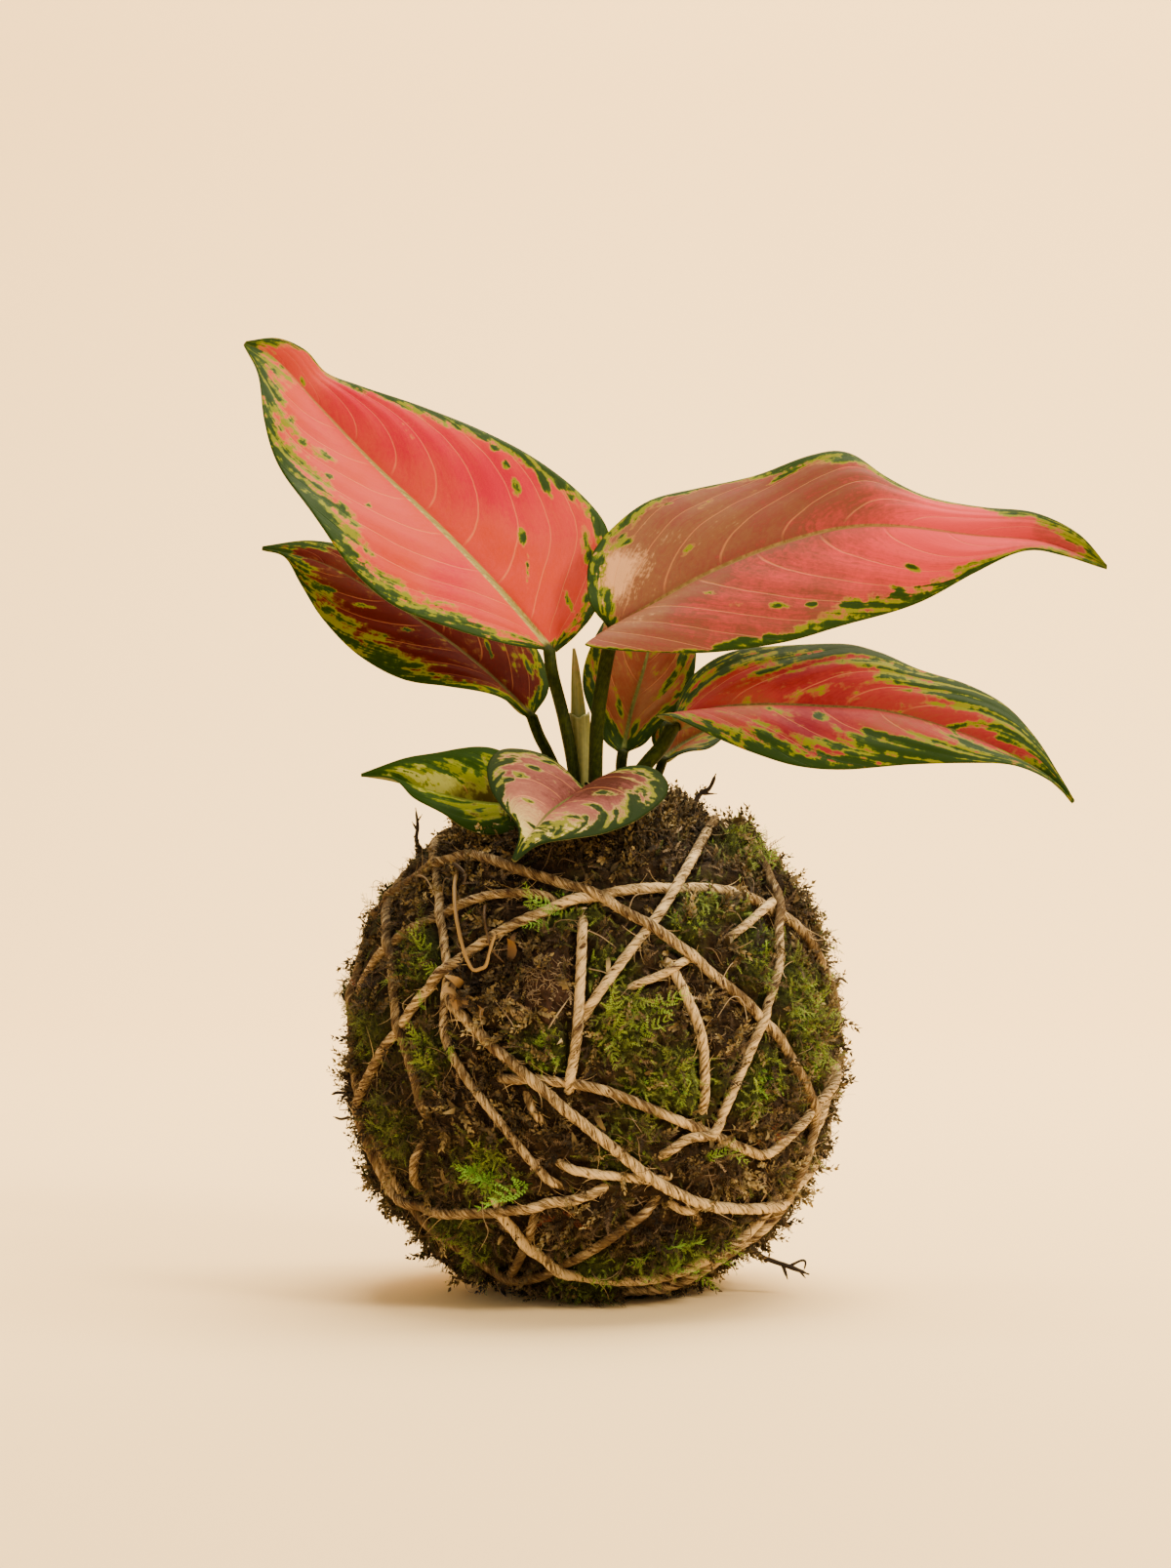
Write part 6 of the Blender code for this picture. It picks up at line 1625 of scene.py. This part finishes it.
def leafMaterial(name, leaf):
    material, start, fill = newMaterial(name, Specular_IOR_Level=leaf.get("gloss", blade["gloss"]))
    vein, ribWay, place = start.mark("vein"), start.mark("ribway"), start.place()
    upper, stalk, green = start.mark("upper"), start.mark("stalk"), start.mark("green")
    along = start.mark("lengthway")
    warp = start.speckle(place, 110.0, 2.0) - 0.5
    fine = start.speckle(place, 900.0, 3.0)
    fraction = start.node("ShaderNodeMath", {"operation": "FRACT"}, {0: vein + warp * 0.10 + 0.5})
    veinLine = 1.0 - abs(fraction - 0.5).rise(0.010, 0.034)
    wavy = vein + warp * 0.5
    blotch = start.speckle(start.vector(wavy * 1.8, ribWay * 0.14, leaf["seed"] * 7.3), 1.0, 3.0, 0.6)
    streak = start.speckle(start.vector(wavy * 13.0, ribWay * 0.30, leaf["seed"] * 3.1), 1.0, 3.0, 0.6)
    clot = start.speckle(start.vector(wavy * 2.5, ribWay * 0.24, leaf["seed"] * 5.9), 1.0, 2.0, 0.5)
    net = start.speckle(start.vector(vein * 9.0, ribWay * 1.1, leaf["seed"]), 1.6, 3.0, 0.6)
    jag = start.speckle(place, 400.0, 3.0)

    # the pink flesh, paler along the side veins and at a pale tip, with the painted shade and painted sheen
    # that some blushes hold
    stops = [(0.0, leaf["cream"]), (0.25, leaf["pale"]), (0.55, leaf["pink"]), (1.0, leaf["deep"])]
    blush = start.mark("blush") + (streak - 0.5) * 0.45 + warp * 0.55
    blush = blush + (net - 0.5) * 0.25 + (fine - 0.5) * 0.35
    flesh = start.node("ShaderNodeValToRGB", {"stops": stops}, {"Fac": blush})
    flesh = (veinLine * ribWay.rise(0.5, 4.0) * 0.27).blend(flesh, blade["vein"])
    if "tip" in leaf:
        flesh = (along + (streak - 0.5) * 0.4).rise(0.55, 0.85).blend(flesh, leaf["tip"])

    # the green, ragged and clotted, but whole along the margin of a leaf with an edge
    ragged = (blotch - 0.5) * leaf["contrast"] + (jag - 0.5) * 1.1 + (streak - 0.5) * 0.2
    clots = (clot - 0.5) * 1.3
    if "edge" in leaf:
        loose = start.mark("rim").rise(0.4 * leaf["edge"], 1.3 * leaf["edge"]) * 0.85 + 0.15
        ragged, clots, green = ragged * loose, clots * loose, green + (1.0 - loose) * 0.12
    shade = green + ragged * (green * 0.9 + 0.45) + (fine - 0.5) * 0.12
    deepShade = shade + clots * green.rise(0.1, 0.4)
    halo = (shade.rise(0.24, 0.40) * 0.5).blend(flesh, leaf["halo"])
    lime, midGreen, darkGreen = (leaf.get(part, blade[part]) for part in ("lime", "midGreen", "green"))
    edged = (shade + (net - 0.5) * 0.2).rise(0.36, 0.47).blend(halo, lime)
    patched = (deepShade + fine * 0.3).rise(0.66, 0.95).blend(midGreen, darkGreen)
    face = deepShade.rise(0.52, 0.62).blend(edged, patched)

    rib = 1.0 - start.mark("ribshare").rise(0.55, 1.0)
    fade = 1.0 - along.rise(0.45, 1.0) * 0.75
    paleRib = tuple(min(1, 1.9 * part) for part in leaf["midrib"])
    face = (rib * fade * 0.9).blend(face, streak.rise(0.35, 0.7).blend(leaf["midrib"], paleRib))
    under = (0.35 + shade.rise(0.45, 0.7) * 0.4).blend(face.scaled(0.75, 0.8, 0.75), blade["under"])
    stem = (streak * 0.5 + fine * 0.5).rise(0.35, 0.7).blend(blade["stalk"], blade["stalkLight"])
    colour = stalk.blend(upper.blend(under, face), stem)
    height = streak * 0.25 + fine * 0.15 + net * 0.18 - veinLine * 0.30
    rough = 0.50 + (fine - 0.5) * 0.16 + (net - 0.5) * 0.10 + (1.0 - upper) * 0.15
    fill(Base_Color=colour, Roughness=rough, Normal=start.bump(height, 0.0003, 0.6))
    return material


def makeLeaves():
    for name, leaf in leaves.items():
        rings, marks, side, upper = bladeRings(leaf)
        stalk, long = stalkRings(leaf, side, upper)
        count = len(stalk)
        t = np.linspace(0, long / 10, count)[:, None]
        empty = np.zeros(stalk.shape[:2])
        turn = np.abs(np.linspace(-1, 1, stalk.shape[1]))[None] + empty
        foot = {"vein": t + empty + turn * 2, "ribway": t * 6 + empty, "rim": empty + 5, "green": empty,
                "blush": empty + 0.5, "lengthway": empty, "ribshare": empty + 2, "upper": empty + 1}
        marks = {mark: np.concatenate([foot[mark], marks[mark]]) for mark in foot}
        fade = ramp(np.arange(len(rings)) / blade["rows"], 0.035, 0.0)[:, None] * np.ones(rings.shape[:2])
        marks["stalk"] = np.concatenate([empty + 1, fade])
        part = sweep(np.concatenate([stalk, rings]) * mm, marks=marks)
        addPart(name.replace("leaf", "blade"), part, leafMaterial(name, leaf), leaf["slot"], name)
    print("leaves made")


# the new shoot: a sheath, torn at its top, with the next leaf rolled up in it; lines are of
# (x, y, z, radius) in mm, and dry is how brown it is
shoot = {
    "parts": {
        "shoot_sheath": {
            "line": [(-1.2, 5.5, 102.5, 2.4), (-2.2, 5.5, 114.5, 2.6), (-2.9, 5.5, 126.5, 2.75),
                     (-3.3, 5.5, 136.5, 2.7), (-3.5, 5.5, 141.5, 2.6)],
            "rows": 60, "torn": 0.55, "dry": 0.0, "dryTop": 0.6,
        },
        "shoot_spear": {
            "line": [(-3.5, 5.5, 136, 2.1), (-3.7, 5.5, 141, 2.0), (-3.9, 5.35, 145, 1.7),
                     (-4.2, 5.0, 149.5, 1.35), (-4.5, 4.8, 154.5, 0.85), (-4.8, 4.6, 158, 0.35)],
            "rows": 50, "torn": 0.0, "dry": 0.45, "dryTop": 0.0,
        },
    },
    "sides": 40, "overlap": 0.14, "innerRows": 14, "innerWidth": 0.86,
    "foot": (0.07, 0.10, 0.010), "dark": (0.115, 0.12, 0.018), "pale": (0.225, 0.21, 0.045),
    "brown": (0.25, 0.13, 0.06),
}


def rolledRings(form):
    # a leaf rolled round itself: a spiral section, with a step where its free edge lies
    rows, turn = form["rows"], roundAngles(shoot["sides"])
    line = readAlong(smoothLine(form["line"]), np.linspace(0, 1, rows))
    swell = 1 + shoot["overlap"] * (turn / (2 * np.pi) - 0.5)
    rings = tubeRings(line[:, :3], np.ones(rows), shoot["sides"])
    out = (rings - line[:, None, :3]) * (line[:, 3:4] * swell[None])[..., None]
    rings = line[:, None, :3] + out
    top = ramp(np.arange(rows) / rows, 0.8, 1.0)[:, None]
    rings[..., 2] += form["torn"] * top * (np.sin(turn * 2 + 1) + 0.5 * np.sin(turn * 5 + 2))[None]
    return rings


def shootMaterial():
    material, start, fill = newMaterial("new_shoot", Specular_IOR_Level=0.4)
    place, up, around = start.place(), start.mark("lengthway"), start.mark("around")
    streak = start.speckle(start.vector(around * 14.0, up * 1.5, 2.0), 1.0, 3.0)
    fine = start.speckle(place, 700.0, 3.0)
    base = (streak * 0.7 + fine * 0.3).rise(0.35, 0.65).blend(shoot["dark"], shoot["pale"])
    green = up.rise(0.0, 0.6).blend(shoot["foot"], base)
    brown = (start.mark("tone") * (fine + 0.3)).rise(0.25, 0.6).blend(green, shoot["brown"])
    bump = start.bump(streak * 0.4 + fine * 0.2, 0.0003, 0.6)
    fill(Base_Color=brown, Roughness=0.42 + fine * 0.1, Normal=bump)
    return material


def makeShoot():
    material = shootMaterial()
    for name, form in shoot["parts"].items():
        rings = rolledRings(form)
        if form["torn"]:
            # the sheath is open at the top, and goes down inside
            inside = rings[::-1][:shoot["innerRows"]]
            centre = inside.mean(axis=1, keepdims=True)
            rings = np.concatenate([rings, centre + (inside - centre) * shoot["innerWidth"]])
        t = np.linspace(0, 1, len(rings))[:, None] * np.ones((1, shoot["sides"]))
        around = np.abs(np.linspace(-1, 1, shoot["sides"]))[None] * np.ones((len(rings), 1))
        dry = form["dry"] * ramp(t, 0.2, 0.8) + form["dryTop"] * ramp(t, 0.93, 0.99)
        part = sweep(rings * mm, marks={"lengthway": t, "around": around, "tone": dry})
        addPart(name, part, material, "shoot", "new_shoot")
    print("new shoot made")


# in metres; each lamp has its place, what it is aimed at, its size, its power in watts and its colour
studio = {
    "paper": (0.98, 0.73, 0.38), "halfWidth": 3, "front": -2.5, "back": 1.0, "bend": 0.6, "top": 3.0,
    "bendRows": 24,
    "air": (1.0, 0.89, 0.74), "airLight": 0.5,
    "lamps": {
        "key_light": ((0.85, -0.75, 0.85), (0, 0, 0.12), 0.30, 20, (1.0, 0.83, 0.60)),
        "fill_light": ((-1.0, -1.2, 0.5), (0, 0, 0.12), 1.2, 4, (1.0, 0.88, 0.72)),
        "back_light": ((0.2, 0.8, 1.1), (0, 0, 0.12), 0.8, 3, (1.0, 0.86, 0.68)),
        "wall_light": ((0.3, 0.5, 1.7), (0.1, 1.4, 0.2), 1.4, 112, (1.0, 0.87, 0.68)),
    },
}


def makeFloor():
    # a sheet of paper that lies under the plant and bends up behind it
    paper, *_ = newMaterial("studio_paper", Base_Color=studio["paper"], Roughness=0.9, Specular_IOR_Level=0.1)
    back, bend, half = studio["back"], studio["bend"], studio["halfWidth"]
    angles = np.linspace(0, math.pi / 2, studio["bendRows"])
    curve = [(back + bend * math.sin(angle), bend * (1 - math.cos(angle))) for angle in angles]
    profile = [(studio["front"], 0), *curve, (back + bend, studio["top"])]
    points = [(x, y, z) for y, z in profile for x in (-half, half)]
    faces = [(2 * i, 2 * i + 1, 2 * i + 3, 2 * i + 2) for i in range(len(profile) - 1)]
    floor = addPiece("studio_floor", np.array(points), [np.array(faces)], paper)


def makeStage():
    makeFloor()
    for name, (place, aim, size, power, colour) in studio["lamps"].items():
        light = bpy.data.lights.new(name, "AREA")
        light.size = size
        light.energy = power
        light.color = colour
        item = bpy.data.objects.new(name, light)
        item.location = place
        way = Vector(aim) - Vector(place)
        item.rotation_euler = way.to_track_quat("-Z", "Y").to_euler()
        bpy.context.collection.objects.link(item)
    world = bpy.data.worlds.new("studio")
    world.use_nodes = True
    sockets = world.node_tree.nodes["Background"].inputs
    sockets["Color"].default_value = (*studio["air"], 1)
    sockets["Strength"].default_value = studio["airLight"]
    bpy.context.scene.world = world
    print("floor and lamps set")


juteTwine = juteMaterial()
makeHangingTwine(juteTwine)
twineWays = twineLines()
twineTree = treeOf(np.concatenate([line for line, *_ in twineWays]))
makeWraps(juteTwine, twineWays)
makeBed(twineTree)
makeSoil()
makeMoss(twineTree)
makeLeaves()
makeShoot()
makeStage()
